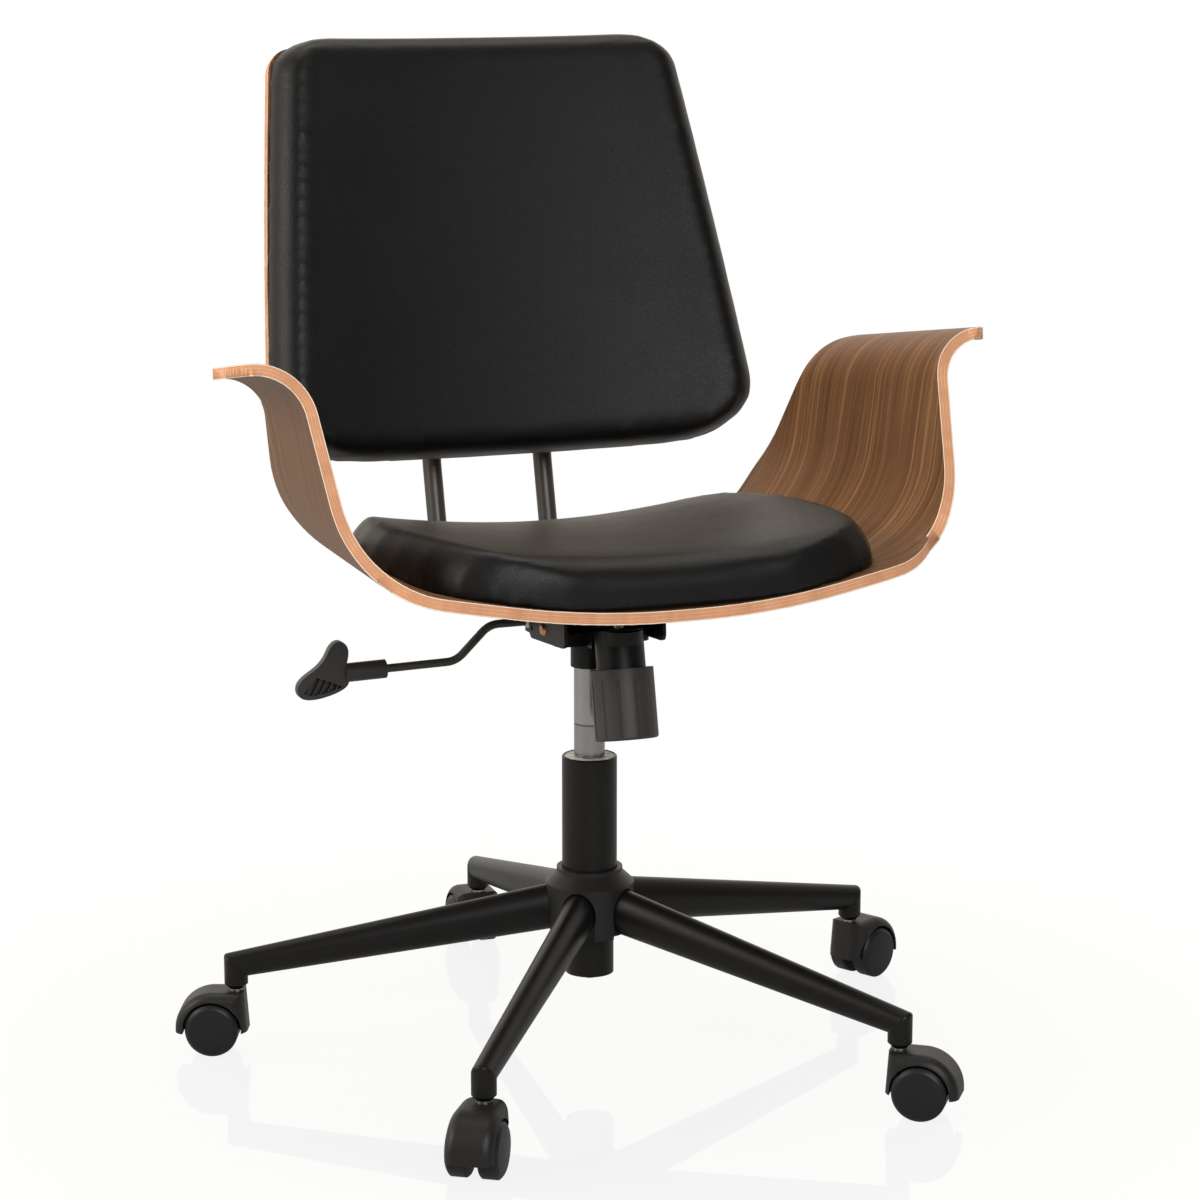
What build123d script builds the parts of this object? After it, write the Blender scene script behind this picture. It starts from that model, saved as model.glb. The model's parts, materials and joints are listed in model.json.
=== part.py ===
import os
from math import asin, cos, degrees, radians, sin, tan

from build123d import *

os.makedirs("parts", exist_ok=True)

# Swivel chair, millimetres. The origin is on the floor under the gas column's axis,
# +Z is up, the sitter faces -Y and +X is the sitter's left hand.

# Clearances
fit_gap = 0.05
ply_gap = 0.3
slack = 0.5

# Five-legged base
leg_count = 5
first_leg_angle = 16.7
caster_circle = 323.5
hub_radius = 36.5
hub_bottom = 112.5
hub_height = 43
leg_root_half_width = 15
leg_root_half_height = 21
leg_tip_half_width = 10.4
leg_tip_half_height = 12
socket_radius = 10.8
leg_end_round = 3
leg_root_z = 133.5
leg_tip_z = 81.5
leg_wall = 2
socket_bottom = 60
socket_depth = 30
socket_chamfer = 4

# Hub cover
cover_lip_radius = 30
cover_lip_top = 171.5
cover_lip_height = 4
cover_shoulder_radius = 40.5
cover_shoulder_z = 157.5
cover_skirt_radius = 39.5
cover_skirt_bottom = 110.5
cover_wall = 2
notch_gap = 0.8

# Twin-wheel casters
caster_yaws = (26.3, 87, 156.4, -125.1, -37.8)
wheel_radius = 24.3
wheel_inner_face = 5.5
wheel_tread_start = 7
wheel_tread_end = 20
wheel_dome = 24.5
wheel_hub_depth = 18
axle_radius = 3
caster_trail = 21
stem_radius = 5.5
stem_collar_radius = 6.8
stem_collar_height = 1.4
stem_foot_z = 40
hood_radius = 34
hood_clearance = 2.4
hood_half_width = 21.5
hood_web_half = 4.5
hood_skirt_z = 21
hood_nose = 8
hood_nose_corner = 15
hood_nose_draft = 4
hood_round = 10

# Gas column
tube_radius = 25
tube_wall = 2
tube_top = 275.5
tube_foot_radius = 22
tube_foot_z = 71.5
taper_bottom = 109.5
taper_top = 161.5
tube_floor = 4
tube_core_wall = 3.5
bush_length = 74
bush_recess = 0.6
cylinder_radius = 14
cylinder_wall = 1.5
cylinder_bottom = 171.5
cylinder_top = 403.5
cylinder_cap = 8
cylinder_head = 23
rod_radius = 5
rod_foot_z = 65.5
rod_top = 226.5
piston_height = 8
rod_flange_radius = 12
rod_flange_height = 2
bearing_radius = 14
bearing_height = 5
clip_radius = 9
clip_height = 2
clip_groove = 1
pin_radius = 4
pin_bottom = 390.5
pin_top = 409.5

# Tilt housing on top of the gas column
boss_radius = 17
boss_bottom = 358.5
boss_collar_radius = 18.5
boss_collar_top = 400.5
tray_half_width = 45
tray_front = -38
tray_rear = 52
tray_floor_z = 385.5
tray_wall = 4
tray_floor = 3.2
tray_wall_top = 396.5
tray_corner = 9
pivot_y = -12
pivot_z = 397.5
pivot_lug_radius = 9
pivot_radius = 3.5
pivot_head_radius = 5.5
pivot_head_height = 2.5
front_block_half_width = 18
front_block_front = -92
front_block_bottom = 395.5
front_block_top = 407.5
front_web_bottom = 385.5
front_web_depth = 13
front_web_half_width = 18

# Tension spring and knob on a leaning axis
tension_y = -76.5
tension_z = 371.5
tension_lean = 12.5
sleeve_radius = 21.7
sleeve_bore = 19.5
sleeve_into_knob = 32
sleeve_into_block = 34
spring_seat = 19
spring_outer = 17
spring_inner = 12.5
spring_length = 60
washer_radius = 18.5
washer_height = 3
knob_radius = 28.25
knob_height = 62.5
knob_bore_gap = 0.8
knob_bore_depth = 50
knob_boss_radius = 9
knob_ribs = 12
knob_rib_radius = 1.3
knob_edge = 9
bolt_radius = 5
bolt_hole_gap = 1.8
bolt_head_radius = 11
bolt_head_height = 5
bolt_dome_height = 3
bolt_head_rise = 45
bolt_tail = 9
knob_floor = 2.5
knob_round = 2.5

# Seat carrier plate under the shell, in the seat's pitched frame
seat_pitch = 4.2
seat_datum_z = 436.2
plate_thickness = 3
plate_half_width = 80
plate_front = -110
plate_rear = 115
plate_corner = 14
flange_outer = 48.5
flange_front = -60
flange_rear = 28
flange_depth = 37.5
flange_corner = 7
flange_hole_radius = 2.3
flange_hole_v = 21
flange_hole_depth = 28.5
yoke_half_width = 17
yoke_half_length = 15
yoke_drop = 12.5
yoke_wall = 3
yoke_hole_gap = 3.6
seat_bolt_x = 66
seat_bolt_front = -92
seat_bolt_rear = 34
bolt_shank_radius = 3
bolt_button_radius = 6
bolt_button_height = 3
seat_bolt_bite = 7
plate_boss_radius = 9

# Release lever
lever_y = 38
lever_ball_x = -43
lever_ball_radius = 6.5
lever_z = 395
lever_rod_radius = 3.75
lever_lug_radius = 9
lever_trunnion_radius = 2
lever_trunnion_reach = 8.5
lever_elbow_x = -82
lever_bend_x = -114
lever_bend_z = 364
lever_tip_x = -213
lever_tip_z = 362
lever_bend_radius = 22
finger_near = -20
finger_far = -27
finger_half_width = 5
finger_reach = 5
finger_thickness = 3.2
finger_gap = 0.3
finger_foot = 2
handle_start = -181
handle_radius = 8.5
handle_end = -219
paddle_half_thickness = 4
paddle_recess = 5
paddle_ribs = 5
paddle_rib_width = 1.2
paddle_rib_pitch = 6.5
paddle_rib_slant = 62
paddle_rib_length = 32

# Bent plywood seat shell: the sheet's line at its front and rear planes
ply = 10.5
shell_front = -240
shell_rear = 190
front_form = dict(flat=13.1, toe=800, rise=10, ramp=64, bend=88, lean=80.5, arm=86.8,
                  lip_bend=54, lip_fall=3, lip=38)
rear_form = dict(flat=4.1, toe=560, rise=10, ramp=32.1, bend=130, lean=81, arm=29.6,
                 lip_bend=52, lip_fall=3, lip=44)
seat_front = -220
seat_front_bow = 2139
seat_front_sweep = 4.96
seat_front_corner = 110
seat_rear = 186
seat_rear_bow = 1400
seat_rear_sweep = 6.5
seat_rear_corner = 60
arm_front_join = 246
arm_rear_join = 204
arm_front_edge = ((-187, -20), (-186, 30), (-169, 66), (-121, 193), (-104, 250))
arm_rear_edge = ((146.5, -20), (148, 74), (97, 166), (86, 200), (86, 250))
arm_edge_radius = 40
lip_front_x = 351
lip_rear_x = 331
lip_front_v = -84
lip_rear_v = 30
lip_front_corner = 36
lip_rear_corner = 60

# Seat pad: distance along the seat, half width, heights of underside and crown over the ply
seat_pad_sections = (
    (-217, 104, 8, 22),
    (-214, 122, 4, 30),
    (-209, 144, 0, 36),
    (-201, 167, -3, 40.5),
    (-188, 186, -5, 43),
    (-166, 198, -6, 44),
    (-140, 206, -6, 44.5),
    (-90, 213, -6, 45),
    (-40, 216, -6, 45.5),
    (10, 213, -6, 46),
    (60, 205, -6, 46),
    (95, 195, -6, 45),
    (120, 182, -5, 42.5),
    (140, 164, -3, 39),
    (153, 144, 1, 33.5),
    (160, 124, 5, 28),
    (164, 106, 9, 21),
)
seat_pad_half = 216
seat_pad_dish = 20
seat_pad_side = 7

# Backrest
back_lean = 17.6
back_y = 209
back_z = 523
back_radius = 819
back_height = 388
back_bottom_half = 243.3
back_top_half = 200.5
back_bottom_corner = 56
back_top_corner = 28
back_side_bow = 2.5
back_pad_drop = 3.5
back_pad_rise = 4
back_pad_overhang = 2.2
back_pad_inset = 2.5
back_pad_bottom = -back_pad_drop
back_pad_top = back_height + back_pad_rise
back_pad_bottom_half = back_bottom_half + back_pad_overhang
back_pad_top_half = back_top_half - back_pad_inset
back_pad_side_bow = 2
back_pad_bottom_corner = (95, 55)
back_pad_top_corner = (50, 32)
back_pad_near = -4
back_pad_depth = 46.5
back_pad_roll = 20
back_pad_tuck = 12
# Shares of a corner's quarter turn at which the pad has a section
back_pad_steps = (0, 0.2, 0.4, 0.6, 0.8, 1)
back_pad_side = 7
back_pad_edge = 3

# Back tubes
back_tube_x = 56.5
back_tube_radius = 9
back_tube_wall = 1.8
back_tube_start = 55
back_tube_foot = 242
back_tube_knee = (269.5, 514.5)
back_tube_foot_bend = 50
back_tube_knee_bend = 130
back_tube_reach = 262
spacer_height = 3
spacer_radius = 8
back_screw_inset = 24
back_screw_pitch = 68
back_screw_heights = (
    back_tube_reach - back_screw_inset - back_screw_pitch,
    back_tube_reach - back_screw_inset,
)
back_screw_bite = 7
plug_length = 12
plug_head = 3


def save(piece, node):
    piece.label = node
    export_step(piece, f"parts/{node}.step")


# Five-legged base: one leg along +X, placed round the column
leg_run = Vector(caster_circle - hub_radius, 0, leg_tip_z - leg_root_z).normalized()
elbow = Vector(caster_circle, 0, leg_tip_z)
leg_root = elbow - leg_run * ((caster_circle - hub_radius / 2) / leg_run.X)
leg_overrun = 2 * leg_tip_half_height
leg_middle = Plane(origin=elbow, z_dir=leg_run.cross(Vector(0, 1, 0)))


# Half width and half height of a leg's oval at a distance from the column
def leg_oval(reach, inset=0):
    share = (reach - hub_radius) / (caster_circle - hub_radius)
    half_width = leg_root_half_width + (leg_tip_half_width - leg_root_half_width) * share
    half_height = leg_root_half_height + (leg_tip_half_height - leg_root_half_height) * share
    return half_width - inset, half_height - inset


def leg_section(spot):
    return Plane(origin=spot, x_dir=(0, 1, 0), z_dir=leg_run)


# Upper edge of a leg's outer end
def is_end_corner(edge):
    return edge.center().X > caster_circle + socket_radius / 2 and edge.center().Z > leg_tip_z


leg_tip = elbow + leg_run * leg_overrun
hollow_tip = elbow - leg_run * leg_overrun
with BuildPart() as leg:
    with BuildSketch(leg_section(leg_root)):
        Ellipse(*leg_oval(leg_root.X))
    with BuildSketch(leg_section(leg_tip)):
        Ellipse(*leg_oval(leg_tip.X))
    loft()
    with BuildSketch(leg_section(leg_root)):
        Ellipse(*leg_oval(leg_root.X, leg_wall))
    with BuildSketch(leg_section(hollow_tip)):
        Ellipse(*leg_oval(hollow_tip.X, leg_wall))
    loft(mode=Mode.SUBTRACT)
    with BuildSketch():
        Circle(hub_radius)
    extrude(amount=cover_lip_top, mode=Mode.SUBTRACT)

with BuildPart() as socket:
    with BuildSketch(Plane.XY.offset(socket_bottom)):
        with Locations((caster_circle, 0)):
            Circle(socket_radius)
    extrude(amount=leg_root_z - socket_bottom)
    split(bisect_by=leg_middle, keep=Keep.BOTTOM)
    chamfer(socket.edges().sort_by(Axis.Z)[0], socket_chamfer)

with BuildPart() as base_leg:
    add(leg.part)
    add(socket.part)
    # Outer end flush with the socket, its upper corner rounded
    with BuildSketch(Plane.XY.offset(socket_bottom)):
        with Locations((caster_circle + leg_overrun, 0)):
            Rectangle(2 * leg_overrun, 4 * socket_radius)
        with Locations((caster_circle, 0)):
            Circle(socket_radius, mode=Mode.SUBTRACT)
    extrude(amount=leg_root_z - socket_bottom, mode=Mode.SUBTRACT)
    fillet(base_leg.edges().filter_by(is_end_corner), leg_end_round)
    with BuildSketch(Plane.XY.offset(socket_bottom)):
        with Locations((caster_circle, 0)):
            Circle(stem_radius + fit_gap)
    extrude(amount=socket_depth, mode=Mode.SUBTRACT)

leg_angles = [first_leg_angle + k * 360 / leg_count for k in range(leg_count)]
for number, angle in enumerate(leg_angles, 1):
    save(Rot(0, 0, angle) * base_leg.part, f"base_leg_{number}")

# Hub sleeve with the tapered bore that holds the column
taper_slope = (tube_radius - tube_foot_radius) / (taper_top - taper_bottom)
hub_top = hub_bottom + hub_height
hub_bore_bottom = tube_foot_radius + taper_slope * (hub_bottom - taper_bottom) + fit_gap
hub_bore_top = tube_foot_radius + taper_slope * (hub_top - taper_bottom) + fit_gap
with BuildPart() as base_hub:
    with BuildSketch(Plane.XZ):
        with BuildLine():
            Polyline(
                (hub_bore_bottom, hub_bottom),
                (hub_radius, hub_bottom),
                (hub_radius, hub_top),
                (hub_bore_top, hub_top),
                close=True,
            )
        make_face()
    revolve(axis=Axis.Z)
save(base_hub.part, "base_hub")

# Conical cover over the hub, with an arch over each leg
cover_bore = tube_radius + slack
cover_inside = hub_radius + slack
with BuildPart() as hub_cover:
    with BuildSketch(Plane.XZ):
        with BuildLine():
            Polyline(
                (cover_bore, cover_lip_top),
                (cover_lip_radius, cover_lip_top),
                (cover_lip_radius, cover_lip_top - cover_lip_height),
                (cover_shoulder_radius, cover_shoulder_z),
                (cover_skirt_radius, cover_skirt_bottom),
                (cover_inside, cover_skirt_bottom),
                (cover_inside, cover_shoulder_z - cover_wall),
                (cover_bore, cover_lip_top - cover_lip_height - cover_wall),
                close=True,
            )
        make_face()
    revolve(axis=Axis.Z)
    for angle in leg_angles:
        run = leg_run.rotate(Axis.Z, angle)
        root = leg_root.rotate(Axis.Z, angle)
        with BuildSketch(Plane(origin=root, x_dir=Vector(0, 0, 1).cross(run), z_dir=run)):
            Ellipse(*leg_oval(leg_root.X, -notch_gap))
            with Locations((0, -leg_root_half_height)):
                Rectangle(2 * leg_root_half_width, 2 * leg_root_half_height)
        extrude(amount=2 * hub_radius, mode=Mode.SUBTRACT)
save(hub_cover.part, "hub_cover")

# Casters: built once about the stem, then placed under each leg
wheel_pocket = wheel_radius + hood_clearance
axle_line = Plane(origin=(caster_trail, 0, wheel_radius), x_dir=(1, 0, 0), z_dir=(0, 1, 0))
hood_top_z = wheel_radius + hood_radius
hood_length = caster_trail + hood_radius + hood_nose


# Edges of a hood's sides, apart from the skirt and the front end
def is_hood_rim(edge):
    spot = edge.center()
    upper = spot.Z > hood_skirt_z + slack and spot.X > -hood_nose
    return upper and abs(spot.Y) > hood_half_width - slack


with BuildPart() as caster_hood:
    # Drum round the wheels and neck to the stem, with rolled edges
    with BuildSketch(Plane.XZ):
        with BuildLine():
            neck = Polyline(
                (-2 * hood_nose, hood_skirt_z),
                (-2 * hood_nose, hood_top_z),
                (caster_trail, hood_top_z),
            )
            drum = JernArc(neck @ 1, (1, 0), hood_radius, -90)
            Polyline(drum @ 1, ((drum @ 1).X, hood_skirt_z), neck @ 0)
        make_face()
    extrude(amount=hood_half_width, both=True)
    fillet(caster_hood.edges().filter_by(is_hood_rim), hood_round)
    # Rounded, slightly drafted nose
    with BuildSketch(Plane.XY.offset(hood_top_z)) as nose:
        with Locations((hood_length / 2 - hood_nose, 0)):
            Rectangle(hood_length, 2 * hood_half_width)
        fillet(nose.vertices().group_by(Axis.X)[0], hood_nose_corner)
    extrude(amount=hood_skirt_z - hood_top_z, taper=-hood_nose_draft, mode=Mode.INTERSECT)
    for side in (-1, 1):
        with BuildSketch(Plane.XZ.offset(side * hood_web_half)):
            with Locations((caster_trail, wheel_radius)):
                Circle(wheel_pocket)
        extrude(amount=side * hood_half_width, mode=Mode.SUBTRACT)
    with BuildSketch(Plane.XY.offset(hood_top_z)):
        Circle(stem_radius)
    extrude(amount=stem_foot_z - hood_top_z, mode=Mode.SUBTRACT)
    with BuildSketch(axle_line):
        Circle(axle_radius)
    extrude(amount=hood_half_width, both=True, mode=Mode.SUBTRACT)

with BuildPart() as caster_stem:
    with BuildSketch(Plane.XY.offset(stem_foot_z)):
        Circle(stem_radius)
    extrude(amount=socket_bottom + socket_depth - slack - stem_foot_z)
    with BuildSketch(Plane.XY.offset(hood_top_z)):
        Circle(stem_collar_radius)
    extrude(amount=stem_collar_height)
    chamfer(caster_stem.edges().sort_by(Axis.Z)[-1], slack)

with BuildPart() as caster_axle:
    with BuildSketch(axle_line):
        Circle(axle_radius)
    extrude(amount=wheel_hub_depth, both=True)

wheel_edge = 1.5
with BuildPart() as caster_wheel:
    with BuildSketch(Plane.XY):
        with BuildLine():
            Polyline(
                (axle_radius + fit_gap, wheel_hub_depth + slack),
                (axle_radius + fit_gap, wheel_inner_face),
                (wheel_radius - wheel_edge, wheel_inner_face),
                (wheel_radius, wheel_tread_start),
                (wheel_radius, wheel_tread_end),
            )
            ThreePointArc(
                (wheel_radius, wheel_tread_end),
                (wheel_radius - wheel_edge, wheel_tread_end + wheel_edge),
                (wheel_radius - 2.5 * wheel_edge, wheel_tread_end + 2 * wheel_edge),
            )
            TangentArc(
                (0, wheel_dome),
                (wheel_radius - 2.5 * wheel_edge, wheel_tread_end + 2 * wheel_edge),
                tangent=(1, 0),
            )
            Polyline(
                (0, wheel_dome),
                (0, wheel_hub_depth + slack),
                (axle_radius + fit_gap, wheel_hub_depth + slack),
            )
        make_face()
    revolve(axis=Axis.Y)

wheel_seat = Pos(caster_trail, 0, wheel_radius)
for number, (angle, yaw) in enumerate(zip(leg_angles, caster_yaws), 1):
    spot = Vector(caster_circle, 0, 0).rotate(Axis.Z, angle)
    place = Location(spot, (0, 0, yaw))
    save(place * caster_stem.part, f"caster_stem_{number}")
    save(place * caster_hood.part, f"caster_hood_{number}")
    save(place * caster_axle.part, f"caster_axle_{number}")
    save(place * wheel_seat * caster_wheel.part, f"caster_wheel_{number}_a")
    save(place * wheel_seat * Rot(0, 0, 180) * caster_wheel.part, f"caster_wheel_{number}_b")

# Gas column: outer tube, guide bush, thrust bearing, rod with piston, clip, cylinder, pin
tube_core = tube_foot_radius - tube_core_wall
with BuildPart() as column_tube:
    with BuildSketch(Plane.XZ):
        with BuildLine():
            Polyline(
                (tube_foot_radius, tube_foot_z),
                (tube_foot_radius, taper_bottom),
                (tube_radius, taper_top),
                (tube_radius, tube_top - 1),
                (tube_radius - 1, tube_top),
                (tube_radius - tube_wall, tube_top),
                (tube_radius - tube_wall, tube_top - bush_length - bush_recess),
                (tube_core, tube_top - bush_length - bush_recess - tube_core_wall),
                (tube_core, tube_foot_z + tube_floor),
                (rod_radius + slack, tube_foot_z + tube_floor),
                (rod_radius + slack, tube_foot_z),
                close=True,
            )
        make_face()
    revolve(axis=Axis.Z)
save(column_tube.part, "column_tube")

bush_groove = 1.2
with BuildPart() as column_bush:
    with BuildSketch(Plane.XY.offset(tube_top - bush_recess)):
        Circle(tube_radius - tube_wall)
        Circle(cylinder_radius + fit_gap, mode=Mode.SUBTRACT)
    extrude(amount=-bush_length)
    with BuildSketch(Plane.XY.offset(tube_top - bush_recess)):
        with PolarLocations((tube_radius - tube_wall + cylinder_radius) / 2, 8):
            Rectangle(3 * bush_groove, 2 * bush_groove)
    extrude(amount=-bush_groove, mode=Mode.SUBTRACT)
save(column_bush.part, "column_bush")

bearing_floor = tube_foot_z + tube_floor
with BuildPart() as thrust_bearing:
    with BuildSketch(Plane.XY.offset(bearing_floor)):
        Circle(bearing_radius)
        Circle(rod_radius + slack, mode=Mode.SUBTRACT)
    extrude(amount=bearing_height)
save(thrust_bearing.part, "thrust_bearing")

clip_top = tube_foot_z - fit_gap
with BuildPart() as piston_rod:
    with BuildSketch(Plane.XY.offset(rod_foot_z)):
        Circle(rod_radius)
    extrude(amount=rod_top - rod_foot_z)
    with BuildSketch(Plane.XY.offset(bearing_floor + bearing_height + fit_gap)):
        Circle(rod_flange_radius)
    extrude(amount=rod_flange_height)
    with BuildSketch(Plane.XY.offset(rod_top)):
        Circle(cylinder_radius - cylinder_wall - fit_gap)
    extrude(amount=-piston_height)
    with BuildSketch(Plane.XY.offset(clip_top)):
        Circle(rod_radius)
        Circle(rod_radius - clip_groove, mode=Mode.SUBTRACT)
    extrude(amount=-clip_height, mode=Mode.SUBTRACT)
save(piston_rod.part, "piston_rod")

with BuildPart() as retaining_clip:
    with BuildSketch(Plane.XY.offset(clip_top)):
        Circle(clip_radius)
        Circle(rod_radius - clip_groove, mode=Mode.SUBTRACT)
        with Locations((clip_radius, 0)):
            Rectangle(2 * clip_radius, rod_radius, mode=Mode.SUBTRACT)
    extrude(amount=-clip_height)
save(retaining_clip.part, "retaining_clip")

with BuildPart() as gas_cylinder:
    with BuildSketch(Plane.XY.offset(cylinder_bottom)):
        Circle(cylinder_radius)
    extrude(amount=cylinder_top - cylinder_bottom)
    with BuildSketch(Plane.XY.offset(cylinder_bottom + cylinder_cap)):
        Circle(cylinder_radius - cylinder_wall)
    extrude(
        amount=cylinder_top - cylinder_head - cylinder_bottom - cylinder_cap,
        mode=Mode.SUBTRACT,
    )
    with BuildSketch(Plane.XY.offset(cylinder_bottom)):
        Circle(rod_radius + fit_gap)
    extrude(amount=cylinder_cap, mode=Mode.SUBTRACT)
    with BuildSketch(Plane.XY.offset(cylinder_top)):
        Circle(pin_radius + fit_gap)
    extrude(amount=-(cylinder_head - tube_floor), mode=Mode.SUBTRACT)
save(gas_cylinder.part, "gas_cylinder")

with BuildPart() as release_pin:
    with BuildSketch(Plane.XY.offset(pin_bottom)):
        Circle(pin_radius)
    extrude(amount=pin_top - pin_bottom)
save(release_pin.part, "release_pin")

# Tilt housing: socket boss on the cylinder, open tray, block and sleeve for the spring
tension_up = Vector(0, sin(radians(tension_lean)), cos(radians(tension_lean)))
tension_base = Plane(
    origin=(0, tension_y, tension_z), x_dir=(1, 0, 0), z_dir=tension_up
)
tray_length = tray_rear - tray_front
tray_middle = (tray_rear + tray_front) / 2
lug_plane = Plane(origin=(0, pivot_y, pivot_z), x_dir=(0, 1, 0), z_dir=(1, 0, 0))
with BuildPart() as tilt_housing:
    with BuildSketch(Plane.XY.offset(tray_floor_z)):
        with Locations((0, tray_middle)):
            RectangleRounded(2 * tray_half_width, tray_length, tray_corner)
    extrude(amount=tray_wall_top - tray_floor_z)
    with BuildSketch(Plane.XY.offset(front_block_bottom)):
        with Locations((0, (front_block_front + tray_front) / 2)):
            RectangleRounded(
                2 * front_block_half_width,
                tray_front - front_block_front + 2 * tray_wall,
                front_block_half_width - slack,
            )
    extrude(amount=front_block_top - front_block_bottom)
    with BuildSketch(Plane.XY.offset(front_web_bottom)):
        with Locations((0, tray_front - front_web_depth / 2)):
            Rectangle(2 * front_web_half_width, front_web_depth)
    extrude(amount=front_block_top - front_web_bottom)
    with BuildSketch(lug_plane):
        Circle(pivot_lug_radius)
        with Locations((0, (tray_floor_z - pivot_z) / 2)):
            Rectangle(2 * pivot_lug_radius, pivot_z - tray_floor_z)
    extrude(amount=tray_half_width, both=True)
    with BuildSketch(Plane.XY.offset(tray_floor_z + tray_floor)):
        with Locations((0, tray_middle)):
            RectangleRounded(
                2 * (tray_half_width - tray_wall),
                tray_length - 2 * tray_wall,
                tray_corner - tray_wall,
            )
    extrude(amount=front_block_top - tray_floor_z, mode=Mode.SUBTRACT)
    with BuildSketch(Plane.XY.offset(boss_bottom)):
        Circle(boss_radius)
    extrude(amount=tray_floor_z - boss_bottom)
    with BuildSketch(Plane.XY.offset(tray_floor_z)):
        Circle(boss_collar_radius)
    extrude(amount=boss_collar_top - tray_floor_z)
    with BuildSketch(tension_base.offset(-sleeve_into_knob)):
        Circle(sleeve_radius)
    extrude(amount=sleeve_into_knob + sleeve_into_block)
    with BuildSketch(tension_base.offset(-sleeve_into_knob)):
        Circle(sleeve_bore)
    extrude(amount=sleeve_into_knob + spring_seat, mode=Mode.SUBTRACT)
    with BuildSketch(tension_base):
        Circle(bolt_radius + bolt_hole_gap)
    extrude(amount=2 * bolt_head_rise, mode=Mode.SUBTRACT)
    with BuildSketch(Plane.XY.offset(boss_bottom)):
        Circle(cylinder_radius + fit_gap)
    extrude(amount=boss_collar_top - boss_bottom, mode=Mode.SUBTRACT)
    with BuildSketch(lug_plane):
        Circle(pivot_radius)
    extrude(amount=tray_half_width, both=True, mode=Mode.SUBTRACT)
    ball_seat = Plane(origin=(0, lever_y, lever_z), x_dir=(0, 1, 0), z_dir=(-1, 0, 0))
    with BuildSketch(ball_seat.offset(tray_half_width - tray_wall)):
        Circle(lever_lug_radius)
    extrude(amount=tray_wall)
    with BuildSketch(ball_seat):
        Circle(lever_ball_radius + fit_gap)
    extrude(amount=tray_half_width, mode=Mode.SUBTRACT)
    with BuildSketch(Plane(origin=(lever_ball_x, lever_y, lever_z), z_dir=(0, 1, 0))):
        Circle(lever_trunnion_radius + fit_gap)
    extrude(amount=lever_trunnion_reach + slack, both=True, mode=Mode.SUBTRACT)
save(tilt_housing.part, "tilt_housing")

flange_inner = flange_outer - plate_thickness
pin_inner = tray_half_width - tray_wall
with BuildPart() as pivot_pins:
    for side in (-1, 1):
        with BuildSketch(lug_plane.offset(side * pin_inner)):
            Circle(pivot_radius)
        extrude(amount=side * (flange_outer + fit_gap - pin_inner))
        with BuildSketch(lug_plane.offset(side * (flange_outer + fit_gap))):
            Circle(pivot_head_radius)
        extrude(amount=side * pivot_head_height, taper=30)
save(pivot_pins.part, "pivot_pins")

# Release lever: cranked rod with the finger that presses the pin, and a ball in the wall
lever_plane = Plane(origin=(0, lever_y, 0), x_dir=(1, 0, 0), z_dir=(0, -1, 0))
finger_bottom = pin_top + finger_gap
with BuildPart() as lever_rod:
    with BuildLine(lever_plane) as lever_path:
        FilletPolyline(
            (finger_far, lever_z),
            (lever_elbow_x, lever_z),
            (lever_bend_x, lever_bend_z),
            (lever_tip_x, lever_tip_z),
            radius=lever_bend_radius,
        )
    with BuildSketch(Plane(origin=(finger_far, lever_y, lever_z), z_dir=(-1, 0, 0))):
        Circle(lever_rod_radius)
    sweep()
    with BuildSketch(Plane.XY.offset(lever_z - finger_foot)):
        with Locations(((finger_near + finger_far) / 2, (lever_y - finger_half_width) / 2)):
            Rectangle(
                finger_near - finger_far,
                lever_y + finger_half_width + 2 * lever_rod_radius,
            )
    extrude(amount=finger_foot + lever_rod_radius)
    with BuildSketch(Plane.XY.offset(lever_z)):
        with Locations(((finger_near + finger_far) / 2, 0)):
            Rectangle(finger_near - finger_far, 2 * finger_half_width)
    extrude(amount=finger_bottom + finger_thickness - lever_z)
    with BuildSketch(Plane.XY.offset(finger_bottom)):
        with Locations(((finger_reach + finger_far) / 2, 0)):
            Rectangle(finger_reach - finger_far, 2 * finger_half_width)
    extrude(amount=finger_thickness)
save(lever_rod.part, "lever_rod")

ball_trim = 5
with BuildPart() as lever_bush:
    with Locations((lever_ball_x, lever_y, lever_z)):
        Sphere(lever_ball_radius)
        Box(2 * ball_trim, 3 * ball_trim, 3 * ball_trim, mode=Mode.INTERSECT)
    with BuildSketch(Plane(origin=(lever_ball_x, lever_y, lever_z), z_dir=(0, 1, 0))):
        Circle(lever_trunnion_radius)
    extrude(amount=lever_trunnion_reach, both=True)
    with BuildSketch(ball_seat):
        Circle(lever_rod_radius)
    extrude(amount=-2 * lever_ball_x, mode=Mode.SUBTRACT)
save(lever_bush.part, "lever_bush")

# Paddle handle: sleeve over the rod's end and a winged plate with slatted pockets
paddle_outline = (
    (-217, 358.5),
    (-216.5, 352.5),
    (-224, 346.5),
    (-236, 342.5),
    (-250, 340.5),
    (-262, 344.5),
    (-263.5, 351.5),
    (-246, 368.5),
    (-236.5, 379.5),
    (-232, 387.5),
    (-224.5, 391.5),
    (-218, 387.5),
    (-216.5, 376.5),
)
paddle_pocket = (
    (-222, 350),
    (-236, 346),
    (-250, 344),
    (-258, 346.5),
    (-246, 360.5),
    (-232, 355),
)
paddle_pocket_middle = (-240, 350.5)
rod_out = Vector(lever_tip_x - lever_bend_x, 0, lever_tip_z - lever_bend_z).normalized()
rod_tip = Vector(lever_tip_x, lever_y, lever_tip_z)
sleeve_start = rod_tip - rod_out * ((handle_start - lever_tip_x) / -rod_out.X)
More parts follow.
